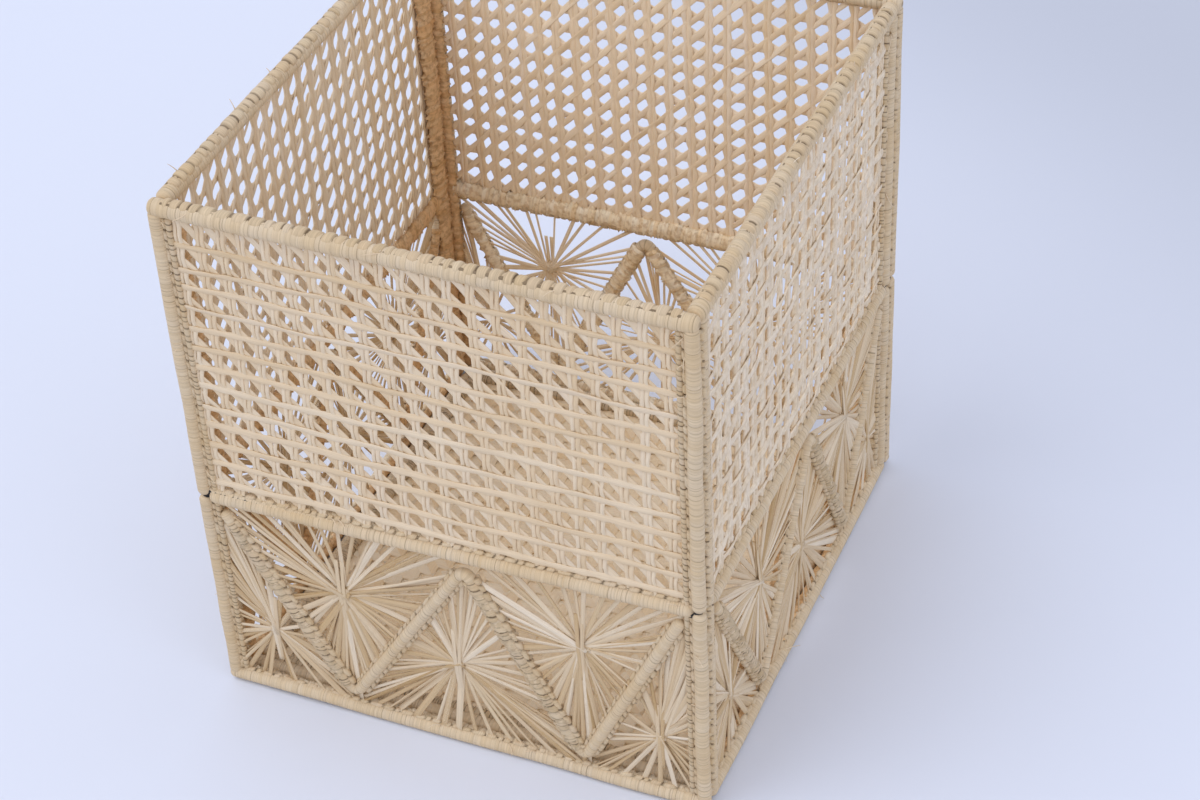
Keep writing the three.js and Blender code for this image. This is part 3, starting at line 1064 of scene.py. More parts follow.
@dataclass(frozen=True)
class FanHand:
    """How a hand lays a fan's strips, in millimetres, radians or shares.

    Attributes:
        uneven: spread of the strips' steps on the rods.
        overshoot: how far a strip runs on beyond the hub.
        hub_spread: spread of the places where the strips cross.
        stack: place inwards of the first strip at the hub, and outwards of the last one.
        stack_spread: spread of these places.
        rim_spread: spread of the strips' depths on the rods.
        width_spread: spread of the strips' widths.
        width_limits: least and most of them.
        neck: share of the width at the hub.
        widening: share that is added over the neck.
        neck_length: share of the length over which a strip widens.
        twist: spread of the strips' twists.
        thick: thickness of a strip.
        rings: rings of a strip.
        tie_leans: places of the two binding strips beside the hub.
        tie_splay: how much further apart they are at their upper ends, and closer at the lower ones.
        tie_out: place outwards of the binding strips at the hub.
        tie_dip: how far their ends dip in again.
        tie_half: half their length.
        tie_widths: their widths.
        tie_thick: their thickness.
        tie_rings: their rings.
    """

    uneven: float = 0.24
    overshoot: float = 1.2
    hub_spread: float = 0.5
    stack: float = 0.55
    stack_spread: float = 0.12
    rim_spread: float = 0.25
    width_spread: float = 0.22
    width_limits: tuple[float, float] = (0.6, 1.6)
    neck: float = 0.7
    widening: float = 0.3
    neck_length: float = 0.3
    twist: float = 0.3
    thick: float = 0.36
    rings: int = 10
    tie_leans: tuple[float, float] = (-0.5, 0.55)
    tie_splay: float = 0.6
    tie_out: float = 0.66
    tie_dip: float = 0.7
    tie_half: float = 11.0
    tie_widths: tuple[float, float] = (1.15, 1.05)
    tie_thick: float = 0.3
    tie_rings: int = 14


@dataclass(frozen=True)
class PanelSizes:
    """Sizes of a wall panel in millimetres, read from the front wall's CAD nodes.

    Attributes:
        half_width: half the length of the top rail.
        rod: radius of a wrapped rod.
        post: distance of a post's axis from the middle.
        top: height of the top rail's axis.
        mid: height of the mid rail's axis.
        bottom: height of the bottom rail's axis.
        zig: radius of the zigzag rod.
        zig_end: distance of the zigzag's ends from the middle.
        zig_top: height of its upper bends.
        zig_bottom: height of its lower bends.
    """

    half_width: float
    rod: float
    post: float
    top: float
    mid: float
    bottom: float
    zig: float
    zig_end: float
    zig_top: float
    zig_bottom: float

    @classmethod
    def read(cls) -> "PanelSizes":
        """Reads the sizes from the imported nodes."""
        top_low, top_high = box_mm("front_top_rail")
        post_low, post_high = box_mm("front_right_post")
        mid_low, mid_high = box_mm("front_mid_rail")
        low_low, low_high = box_mm("front_bottom_rail")
        zig_low, zig_high = box_mm("front_zigzag_rod")
        zig = (zig_high[1] - zig_low[1]) / 2
        return cls(
            half_width=top_high[0],
            rod=(top_high[2] - top_low[2]) / 2,
            post=(post_low[0] + post_high[0]) / 2,
            top=(top_low[2] + top_high[2]) / 2,
            mid=(mid_low[2] + mid_high[2]) / 2,
            bottom=(low_low[2] + low_high[2]) / 2,
            zig=zig,
            zig_end=zig_high[0],
            zig_top=zig_high[2] - zig,
            zig_bottom=zig_low[2] + zig,
        )


@dataclass(frozen=True)
class Fan:
    """One sunburst fan: where its strips cross and which sides of its cell they reach.

    Attributes:
        name: ending of the CAD node's name.
        hub: place where the strips cross, x and z.
        sides: names of two corners of the cell and the spacing of the strips between them.
    """

    name: str
    hub: tuple[float, float]
    sides: tuple[tuple[str, str, float], ...]


# Spacing of the fans' strips on rails, on the zigzag and on posts, and in an end fan's cell, in millimetres
RAIL_SPACING = 4.6
LEG_SPACING = 3.3
POST_SPACING = 3.3
END_LEG_SPACING = 5.0
END_RAIL_SPACING = 4.2
FANS = (
    Fan("fan_left_end", (-51.4, 22.0), (
        ("left_mid", "left_low", POST_SPACING), ("left_low", "left_foot", END_RAIL_SPACING),
        ("left_foot", "left_mid", END_LEG_SPACING),
    )),
    Fan("fan_left_hanging", (-30.2, 41.0), (
        ("left_start", "peak_mid", RAIL_SPACING), ("peak", "left_foot", LEG_SPACING),
        ("left_foot", "left_start", LEG_SPACING),
    )),
    Fan("fan_middle", (0.6, 27.5), (
        ("left_foot", "right_foot", RAIL_SPACING), ("right_foot", "peak", LEG_SPACING),
        ("peak", "left_foot", LEG_SPACING),
    )),
    Fan("fan_right_hanging", (34.6, 44.0), (
        ("peak_mid", "right_start", RAIL_SPACING), ("right_start", "right_foot", LEG_SPACING),
        ("right_foot", "peak", LEG_SPACING),
    )),
    Fan("fan_right_end", (54.6, 20.5), (
        ("right_low", "right_mid", POST_SPACING), ("right_mid", "right_foot", END_LEG_SPACING),
        ("right_foot", "right_low", END_RAIL_SPACING),
    )),
)


@dataclass
class Wall:
    """One wall panel: wound rods, a zigzag rod, their stitching, a cane weave and five fans, in millimetres.

    Attributes:
        name: start of its CAD nodes' names.
        number: its random stream.
        turn: turn of the wall about the upright axis.
        place: place of the wall's middle on the floor.
        tilt: how far the mid rail's right end stands above its middle.
        sizes: sizes of the panel.
        left_foot: place of the zigzag's left lower bend.
        peak: place of its upper bend.
        right_foot: place of its right lower bend.
        first_upright: place of the first upright pair of the weave.
        last_upright: place of the last one.
        uprights: number of upright pairs.
        weave: how the cross strands pass the pairs.
        upright_width: width of one strip of a pair.
        pair_gap: distance of a strip's middle from the middle of its pair.
        swell: how much a pair's or cross strand's edge comes out at a crossing and goes in between two.
        loose: how unevenly the strands run, as a share of the usual.
        spread: how much wider the steps between pairs are at the left end, as a share.
        first_cross: height of the lowest cross strand.
        last_cross: height of the highest one.
        crosses: number of cross strands.
        cross_width: width of a cross strand.
        cross_climb: climb of a cross strand from left to right.
        diagonal_width: width of a diagonal strand.
        diagonal_thick: its thickness.
        upright_thick: thickness of an upright's strip.
        upright_bow: how far an upright bows out between two cross strands and in at a crossing.
        cross_out: how far the cross strands lie outside the weave's middle, where they pass outside.
        cross_thick: thickness of a cross strand.
        spoke_width: width of a fan's strip.
        fan_step: spacing of the fans' strips, as a share of the plan's.
        cane_finish: finish of its weave; on the right and back walls, a brighter copy that carries painted
            light.
        fan_finish: finish of its fans; on the back wall, a brighter copy that carries painted light.
        knot_finish: finish of the inner knots of its rails and zigzag; on the back wall, a copy with painted
            light.
        post_finish: finish of the inner knots of its posts; the warm default knots are partly painted shade.
        rim_core: radius of the top rail's winding.
        rail_core: radius of the other rails' winding.
        post_core: radius of a post's winding.
        zig_core: radius of the zigzag's winding.
        wire_wrap: radius of the first wrap on the level wire under the leaning mid rail.
        notch: half the gap in a post's winding at the mid rail.
        rim_side: 1 where the rim's stitches sit on its inner side, -1 where they sit on its outer side.
        band_rise: how far the mid rail's inner band of knots stands above its axis.
        band_shift: how far the left and right posts' inner bands stand from their axes, towards the middle.
        band_broad: breadth of these bands, as a share of their height.
        hand: how its weave is laid.
        fan_hand: how its fans are laid.
        fibres: how fibre ends stand out of its rods.
    """

    name: str
    number: int
    turn: float
    place: tuple[float, float]
    tilt: float
    sizes: PanelSizes
    left_foot: float = -30.0
    peak: float = 5.0
    right_foot: float = 34.0
    first_upright: float = -61.0
    last_upright: float = 59.6
    uprights: int = 22
    weave: Weave = Weave.OUTSIDE
    upright_width: float = 1.42
    pair_gap: float = 0.66
    swell: float = 0.1
    loose: float = 1.0
    spread: float = 0.0
    first_cross: float = 69.6
    last_cross: float = 140.6
    crosses: int = 13
    cross_width: float = 1.75
    cross_climb: float = 1.2
    diagonal_width: float = 1.15
    diagonal_thick: float = 0.32
    upright_thick: float = 0.52
    upright_bow: float = 0.06
    cross_out: float = 0.38
    cross_thick: float = 0.42
    spoke_width: float = 1.2
    fan_step: float = 1.0
    cane_finish: PalmFinish = CANE_FINISH
    fan_finish: PalmFinish = FAN_FINISH
    knot_finish: PalmFinish = KNOT_FINISH
    post_finish: PalmFinish = KNOT_FINISH
    rim_core: float = 2.2
    rail_core: float = 1.85
    post_core: float = 1.75
    zig_core: float = 1.6
    wire_wrap: float = 1.3
    notch: float = 0.15
    rim_side: float = 1.0
    band_rise: float = 0.0
    band_shift: tuple[float, float] = (0.9, 0.9)
    band_broad: tuple[float, float] = (1.6, 1.6)
    hand: WeaverHand = WeaverHand()
    fan_hand: FanHand = FanHand()
    fibres: FibreEnds = FibreEnds()

    def mid_height(self, x: float) -> float:
        """Height of the mid rail's axis at x."""
        return self.sizes.mid + self.tilt * x / self.sizes.post

    def corners(self) -> dict[str, np.ndarray]:
        """Corners of the fans' cells, on the axes of the rods round them."""
        s = self.sizes
        spots = {
            "left_mid": (-s.post, self.mid_height(-s.post)),
            "right_mid": (s.post, self.mid_height(s.post)),
            "left_low": (-s.post, s.bottom),
            "right_low": (s.post, s.bottom),
            "left_start": (-s.zig_end, self.mid_height(-s.zig_end)),
            "right_start": (s.zig_end, self.mid_height(s.zig_end)),
            "left_foot": (self.left_foot, s.bottom),
            "peak": (self.peak, s.zig_top),
            "peak_mid": (self.peak, self.mid_height(self.peak)),
            "right_foot": (self.right_foot, s.bottom),
        }
        return {name: np.array(spot) for name, spot in spots.items()}

    def zigzag_bends(self) -> np.ndarray:
        """The zigzag rod's ends and bends, from left to right."""
        s = self.sizes
        return line(
            (-s.zig_end + s.zig, 0, self.mid_height(-s.zig_end) - s.mid + s.zig_top),
            (self.left_foot, 0, s.zig_bottom),
            (self.peak, 0, s.zig_top),
            (self.right_foot, 0, s.zig_bottom),
            (s.zig_end - s.zig, 0, self.mid_height(s.zig_end) - s.mid + s.zig_top),
        )

    def rods(self) -> dict[str, Surface]:
        """Winds the three rails and the two posts; a post's winding breaks where the mid rail meets it."""
        s = self.sizes
        rng = draws(self.number, Draw.RODS)
        inner = s.half_width - 2 * self.post_core + RAIL_OVERLAP
        post = s.half_width - self.post_core
        reach = s.half_width
        foot = self.rail_core + FOOT_RISE

        def wound(winding: Winding, radius: float, *ends: Sequence[float]) -> Surface:
            """Winds a straight rod whose outer face lies in the wall's outer plane."""
            path = wavering(line(*ends), rng) + (s.rod - radius) * OUTWARD
            return winding.wind(path, OUTWARD, radius, rng)

        made = {
            "top_rail": wound(RAIL_WINDING, self.rim_core, (-reach, 0, s.top), (reach, 0, s.top)),
            "mid_rail": wound(
                RAIL_WINDING, self.rail_core,
                (-inner, 0, self.mid_height(-inner)), (inner, 0, self.mid_height(inner)),
            ),
            "bottom_rail": wound(RAIL_WINDING, self.rail_core, (-reach, 0, foot), (reach, 0, foot)),
        }
        for name, hand in (("left_post", -1), ("right_post", 1)):
            x = hand * post
            level = self.mid_height(x)
            lower = ((x, 0, s.bottom), (x, 0, level - self.notch))
            upper = ((x, 0, level + self.notch), (x, 0, s.top - POST_DROP))
            made[name] = Surface.join([wound(POST_WINDING, self.post_core, *run) for run in (lower, upper)])
        wire = COLUMN_WINDING.wind(line((-inner, 0, s.mid), (inner, 0, s.mid)), OUTWARD, self.wire_wrap, rng)
        made["mid_rail"] = Surface.join([made["mid_rail"], wire])
        return made

    def zigzag(self) -> Surface:
        """Winds the zigzag rod along its rounded bends."""
        rng = draws(self.number, Draw.ZIGZAG)
        path = rounded(self.zigzag_bends(), ZIGZAG_CUT) + (self.sizes.zig - self.zig_core) * OUTWARD
        return ZIGZAG_WINDING.wind(path, OUTWARD, self.zig_core, rng)

    def stitching(self) -> Surface:
        """Hooks rows of stitches along the edges of the rods, with painted shadow in the hole between two
        hooks.
        """
        s = self.sizes
        rng = draws(self.number, Draw.STITCHES)
        inner = s.half_width - 2 * self.post_core
        reach = inner - ROW_GAP
        edge = self.rail_core + RAIL_ROW.aside
        rim = s.top + RIM_ROW.aside
        under = s.top - self.rim_core

        def level(height: float, outward: float, tilt: float = 0.0) -> np.ndarray:
            """Runs a row from post to post, at a height in the middle."""
            return line((-reach, -outward, height - tilt), (reach, -outward, height + tilt))

        rows = [
            RIM_ROW.stitch(level(rim, self.rim_side * RIM_ROW.outward), UPWARD, rng),
            # a tube of painted shadow, seen between the rim's stitches
            hollow(level(s.top + RIM_SHADOW_RISE, self.rim_side * RIM_SHADOW_OUT), OUTWARD, RIM_SHADOW_RADIUS),
            RIM_EDGE_ROW.stitch(level(under, RIM_EDGE_ROW.outward), OUTWARD, rng),
            RAIL_ROW.stitch(level(s.mid + edge, RAIL_ROW.outward, self.tilt), OUTWARD, rng),
            RAIL_UNDER_ROW.stitch(level(s.mid - edge, RAIL_UNDER_ROW.outward, self.tilt), OUTWARD, rng),
            RAIL_ROW.stitch(level(self.rail_core + edge, RAIL_ROW.outward), OUTWARD, rng),
        ]
        for hand in (-1, 1):
            for row in POST_ROWS:
                x = hand * (inner - row.aside)
                column = line((x, -row.outward, s.bottom + s.rod), (x, -row.outward, s.top - s.rod))
                rows.append(row.stitch(column, OUTWARD, rng))
        rows += self.leg_rows(FALLING_ROWS, RISING_ROWS, OUTWARD, rng)
        rows += self.leg_rows(KNOB_ROWS, (), OUTWARD, rng)
        return Surface.join(rows)

    def inner_stitching(self) -> tuple[Surface, Surface]:
        """Covers the inner side of the rods with bands of small knots.

        Returns:
            The bands of the rails and the zigzag, and those of the posts.
        """
        s = self.sizes
        rng = draws(self.number, Draw.KNOTS)
        reach = s.half_width - 2 * self.post_core
        rails = (
            (s.mid + self.band_rise, self.tilt, MID_BAND_BROAD),
            (s.bottom + LOW_BAND_RISE, 0.0, LOW_BAND_BROAD),
        )
        bands = [
            (line((-reach, RAIL_BAND_IN, height - tilt), (reach, RAIL_BAND_IN, height + tilt)), broad)
            for height, tilt, broad in rails
        ]
        for hand, shift, broad in zip((-1, 1), self.band_shift, self.band_broad):
            x = hand * (s.post - shift)
            bands.append((line((x, POST_BAND_IN, s.bottom), (x, POST_BAND_IN, s.top - s.rod)), broad))
        rows = [
            INNER_KNOTS.wind(wavering(band, rng), -OUTWARD, BAND, rng, (broad, BAND_FLAT))
            for band, broad in bands
        ]
        legs = self.leg_rows(INNER_LEG_ROWS, INNER_LEG_ROWS, -OUTWARD, rng)
        return Surface.join(rows[:len(rails)] + legs), Surface.join(rows[len(rails):])

    def leg_rows(
        self, falling: Sequence[Row], rising: Sequence[Row], hint: np.ndarray, rng: np.random.Generator
    ) -> list[Surface]:
        """Runs rows of stitches along the zigzag's legs.

        Args:
            falling: rows on a leg that falls to the right, each set aside to its left.
            rising: the same on a leg that rises.
            hint: direction that the rows look to.
            rng: random stream.

        Returns:
            The rows.
        """
        rows = []
        bends = self.zigzag_bends()
        for start, end in zip(bends[:-1], bends[1:]):
            ahead = unit(end - start)
            across = np.cross(OUTWARD, ahead)
            for row in falling if end[2] < start[2] else rising:
                shifted = row.aside * across + row.outward * OUTWARD
                path = line(start + LEG_GAP * ahead + shifted, end - LEG_GAP * ahead + shifted)
                rows.append(row.stitch(path, hint, rng))
        return rows

    def fibre_ends(self) -> Surface:
        """Lets a few fibre ends stand out of the rails and posts.

        Each is a thin strip on a quadratic curve: it leaves the rod aslant, droops, and thins out to its tip.
        """
        s, fibres = self.sizes, self.fibres
        rng = draws(self.number, Draw.FIBRES)
        reach = s.half_width - self.post_core
        height = s.top + self.rim_core
        skin = self.post_core - fibres.sink
        levels = (height - fibres.rim_sink, s.mid + self.rail_core, 2 * self.rail_core)
        rails = [(0.0, level, reach, 0.0) for level in levels]
        posts = [(hand * (reach - skin), height / 2, 0.0, height / 2) for hand in (-1, 1)]
        rods = np.repeat(np.array(rails + posts), fibres.count, axis=0)
        count = len(rods)
        flat = rods[:, :2] + rods[:, 2:] * rng.uniform(-fibres.span, fibres.span, (count, 1))
        root = points_at(flat[:, 0], -fibres.outward, flat[:, 1])
        lean = rng.uniform(0, 2 * np.pi, count)
        ahead = points_at(np.cos(lean), -rng.uniform(*fibres.lean, count), np.sin(lean))
        length = rng.uniform(*fibres.length, (count, 1))
        bend = root + fibres.bend * length * ahead
        tip = root + length * (ahead - fibres.droop * UPWARD + fibres.stray * rng.standard_normal((count, 3)))
        paths = bent(root, bend, tip, fibres.rings)
        paths[..., 2] = np.maximum(paths[..., 2], fibres.width)
        wide = fibres.width * (1 - fibres.thinning * np.linspace(0, 1, fibres.rings)[None])
        return ribbons(paths, OUTWARD, wide, fibres.thick, rng.uniform(size=count), np.zeros((count, 1)))

    def loom(self, rng: np.random.Generator) -> Loom:
        """Places the strands of the weave.

        Places along the panel are u + spread * u * (1 - u) for even steps u, so the pairs stand closer
        towards one end.

        Args:
            rng: random stream.

        Returns:
            The places.
        """
        s = self.sizes
        share = np.linspace(0, 1, self.uprights)
        width = self.last_upright - self.first_upright
        upright = self.first_upright + width * (share + self.spread * share * (1 - share))
        upright = upright + self.hand.pair_spread * rng.standard_normal(self.uprights)
        cross = np.linspace(self.first_cross, self.last_cross, self.crosses)
        return Loom(
            first=self.first_upright,
            last=self.last_upright,
            upright=upright,
            cross=cross,
            step_x=width / (self.uprights - 1),
            step_z=cross[1] - cross[0],
            low=s.mid + s.rod - TUCK_LOW,
            high=s.top - s.rod + TUCK_HIGH,
            side=s.post - s.rod + TUCK_SIDE,
        )

    def cane_uprights(self, loom: Loom, rng: np.random.Generator) -> Strands:
        """Sets the upright pairs, which bow out between two cross strands and spread where they cross.

        Args:
            loom: places of the strands.
            rng: random stream.

        Returns:
            The strands.
        """
        hand = self.hand
        apart = np.tile([-1.0, 1.0], self.uprights)[:, None]
        z = np.linspace(loom.low, loom.high, STEP_RINGS * self.crosses + UPRIGHT_END_RINGS)[None]
        middle = np.repeat(loom.upright, 2)[:, None]
        wander = hand.pair_wander.along(z, rng.uniform(*hand.phases, (self.uprights, 1))).repeat(2, axis=0)
        climb = self.cross_climb * middle / (2 * loom.side)
        crossing = np.cos(2 * np.pi / loom.step_z * (z - self.first_cross - climb))
        quiver = hand.strip_quiver.along(z, rng.uniform(*hand.phases, (len(middle), 1)), self.loose)
        x = middle + wander + quiver + apart * (self.pair_gap + self.swell / 2 * crossing)
        y = self.upright_bow * crossing - hand.pair_stagger * apart
        twist = hand.twist_spread * rng.standard_normal((len(middle), 1)) + hand.strip_roll.along(z, middle)
        wide = self.upright_width * (1 + hand.strip_spread * rng.standard_normal((len(middle), 1)))
        return Strands(points_at(x, y, z), wide + self.swell * crossing, self.upright_thick, twist)

    def cane_crosses(self, loom: Loom, rng: np.random.Generator) -> Strands:
        """Lays the cross strands outside the pairs, or through them in a plain weave.

        Args:
            loom: places of the strands.
            rng: random stream.

        Returns:
            The strands.
        """
        hand = self.hand
        level = (loom.cross + hand.cross_spread * rng.standard_normal(self.crosses))[:, None]
        x = np.linspace(-loom.side, loom.side, STEP_RINGS * self.uprights + CROSS_END_RINGS)[None]
        steps = loom.across(x)
        phase = np.cos(2 * np.pi * steps)
        sway = hand.cross_sway.along(x, rng.uniform(*hand.phases, level.shape))
        sway = sway + hand.cross_quiver.along(x, rng.uniform(*hand.phases, level.shape), self.loose)
        z = level + self.cross_climb * x / (2 * loom.side) + sway + hand.cross_rise * phase
        y = -self.cross_out - hand.cross_press * phase + hand.cross_lift * rng.standard_normal(level.shape)
        if self.weave is Weave.PLAIN:
            row = np.arange(len(level))[:, None]
            y = -hand.plain_out - hand.plain_wave * np.cos(np.pi * (steps + row))
            y = y + hand.plain_lift * rng.standard_normal(level.shape)
        wide = self.cross_width * (1 + hand.cross_uneven * rng.standard_normal(level.shape))
        twist = hand.twist_spread * rng.standard_normal(level.shape) + hand.cross_roll.along(x, level)
        return Strands(points_at(x, y, z), wide + 2 * self.swell * phase, self.cross_thick, twist)

    def cane_diagonals(self, loom: Loom, rng: np.random.Generator) -> Strands:
        """Runs the diagonals inside the pairs, one step down for each step to the right.

        Args:
            loom: places of the strands.
            rng: random stream.

        Returns:
            The strands.
        """
        hand = self.hand
        foot = np.arange(-OUTER_DIAGONALS, self.uprights + self.crosses + OUTER_DIAGONALS + 1) + 0.5
        foot = foot + hand.foot_spread * rng.standard_normal(foot.shape)
        ends = loom.across(np.array([-loom.side, loom.side]))
        left = np.maximum(ends[0], foot - (loom.high - self.first_cross) / loom.step_z)
        right = np.minimum(ends[1], foot + (self.first_cross - loom.low) / loom.step_z)
        kept = right - left > SHORTEST_DIAGONAL
        foot, left, right = foot[kept, None], left[kept, None], right[kept, None]
        count = left + (right - left) * np.linspace(0, 1, DIAGONAL_RINGS * self.crosses)[None]
        known = np.arange(-FAR_STEPS, self.uprights + FAR_STEPS + 1)
        even = self.first_upright + known * loom.step_x
        pairs = np.arange(self.uprights)
        shift = loom.upright - np.interp(pairs, known, even)
        x = np.interp(count, known, even) + np.interp(np.clip(count, 0, self.uprights - 1), pairs, shift)
        z = self.first_cross - loom.step_z * (count - foot) + self.cross_climb * x / (2 * loom.side)
        z = z + hand.diagonal_quiver.along(x, rng.uniform(*hand.phases, foot.shape), self.loose)
        y = hand.diagonal_in - hand.diagonal_press * np.cos(2 * np.pi * count)
        y = y + hand.diagonal_lift * rng.standard_normal(foot.shape)
        wide = self.diagonal_width * (1 + hand.diagonal_spread * rng.standard_normal(foot.shape))
        twist = hand.twist_spread * rng.standard_normal(foot.shape) + hand.diagonal_roll.along(x, foot)
        return Strands(points_at(x, y, z), wide, self.diagonal_thick, twist)

    def cane(self) -> Surface:
        """Weaves the upper panel: cross strands outside, upright pairs, diagonals inside.

        Every strand waves in and out like a cosine, with its crests where it passes over another one, and
        swells there too, so that the holes between the strands come out round.
        """
        rng = draws(self.number, Draw.CANE)
        loom = self.loom(rng)
        layers = [make(loom, rng) for make in (self.cane_uprights, self.cane_crosses, self.cane_diagonals)]
        return Surface.join([layer.surface(rng) for layer in layers])

    def fan(self, fan: Fan, rng: np.random.Generator) -> Surface:
        """Lays a fan's strips from its hub to the rods round its cell, each on top of the one before.

        A strip runs straight from a little beyond the hub to its rod. Its place in the stack at the hub fades
        out with the square of the distance.

        Args:
            fan: the fan's plan.
            rng: random stream.

        Returns:
            The strips with the pair that binds them.
        """
        hand = self.fan_hand
        corners = self.corners()
        hub = np.array(fan.hub)
        rims = []
        for start, end, spacing in fan.sides:
            span = corners[end] - corners[start]
            count = round(np.linalg.norm(span) / (spacing * self.fan_step))
            share = (np.arange(count) + 0.5 + hand.uneven * rng.standard_normal(count)) / count
            rims.append(corners[start] + share[:, None] * span)
        rim = np.concatenate(rims)
        count = len(rim)
        begin = hub - hand.overshoot * unit(rim - hub) + hand.hub_spread * rng.standard_normal((count, 2))
        share = np.linspace(0, 1, hand.rings)[None]
        flat = begin[:, None] + (rim - begin)[:, None] * share[..., None]
        stack = np.linspace(hand.stack, -hand.stack, count) + hand.stack_spread * rng.standard_normal(count)
        depth = stack[:, None] * (1 - share) ** 2 + hand.rim_spread * rng.standard_normal((count, 1)) * share
        paths = points_at(flat[..., 0], depth, flat[..., 1])
        wide = np.clip(1 + hand.width_spread * rng.standard_normal((count, 1)), *hand.width_limits)
        wide = self.spoke_width * wide * (hand.neck + hand.widening * np.clip(share / hand.neck_length, 0, 1))
        twist = hand.twist * rng.standard_normal((count, 1))
        twist = twist + hand.twist * rng.standard_normal((count, 1)) * share
        strips = ribbons(paths, OUTWARD, wide, hand.thick, rng.uniform(size=count), twist)
        lengthwise = np.linspace(-1, 1, hand.tie_rings)[None]
        tied = points_at(
            hub[0] + np.array(hand.tie_leans)[:, None] * (1 + hand.tie_splay * lengthwise),
            -hand.tie_out + hand.tie_dip * np.abs(lengthwise),
            hub[1] + hand.tie_half * lengthwise,
        )
        tie_wide = np.array(hand.tie_widths)[:, None]
        tint = rng.uniform(size=len(tied))
        ties = ribbons(tied, OUTWARD, tie_wide, hand.tie_thick, tint, np.zeros_like(tie_wide))
        return Surface.join([strips, ties])

    def build(self, dresses: dict[PalmFinish, bpy.types.Material]) -> None:
        """Makes the wall's pieces and dresses them.

        Args:
            dresses: material of each finish.
        """
        def set_piece(surface: Surface, ending: str, finish: PalmFinish, slot: str, *nodes: str) -> None:
            """Turns a surface to the wall's place and writes it as a piece under the wall's name."""
            named = [f"{self.name}_{node}" for node in nodes]
            placed = surface.placed(self.turn, self.place)
            placed.piece(f"{self.name}_{ending}", dresses[finish], slot, *named)

        for node, surface in self.rods().items():
            set_piece(surface, f"{node}_winding", ROD_FINISH, "palm_wrap", node)
        set_piece(self.zigzag(), "zigzag_winding", ROD_FINISH, "palm_wrap", "zigzag_rod")
        set_piece(self.stitching(), "stitching", STITCH_FINISH, "palm_wrap")
        bands, columns = self.inner_stitching()
        set_piece(bands, "inner_stitching", self.knot_finish, "palm_wrap")
        set_piece(columns, "inner_post_stitching", self.post_finish, "palm_wrap")
        set_piece(self.cane(), "cane_weave", self.cane_finish, "palm_cane", "cane_panel")
        set_piece(self.fibre_ends(), "fibre_ends", self.cane_finish, "palm_wrap")
        rng = draws(self.number, Draw.FANS)
        for fan in FANS:
            set_piece(self.fan(fan, rng), f"{fan.name}_strips", self.fan_finish, "palm_fan", fan.name)


@dataclass
class Corners:
    """Lacing that draws the two posts of each corner together, in millimetres.

    Attributes:
        radius: radius of a lacing stitch.
        sink: how far the stitch sits inside the box's outer face.
    """

    radius: float = 0.95
    sink: float = 0.7

    def build(self, dress: bpy.types.Material) -> None:
        """Laces the four corners.

        Args:
            dress: material of the lacing.
        """
        rng = draws(0, Draw.LACING)
        for end in ("front", "back"):
            for hand in ("left", "right"):
                node = f"corner_lacing_{end}_{hand}"
                low, high = box_mm(node)
                middle = (low + high) / 2
                outward = np.sign(middle[0])
                x = outward * (max(abs(low[0]), abs(high[0])) - self.sink)
                column = line((x, middle[1], low[2]), (x, middle[1], high[2]))
                hint = np.array([outward, 0.0, 0.0])
                lace = LACE_HOOKS.wind(column, hint, self.radius, rng)
                lace.piece(f"{node}_stitches", dress, "palm_lacing", node)


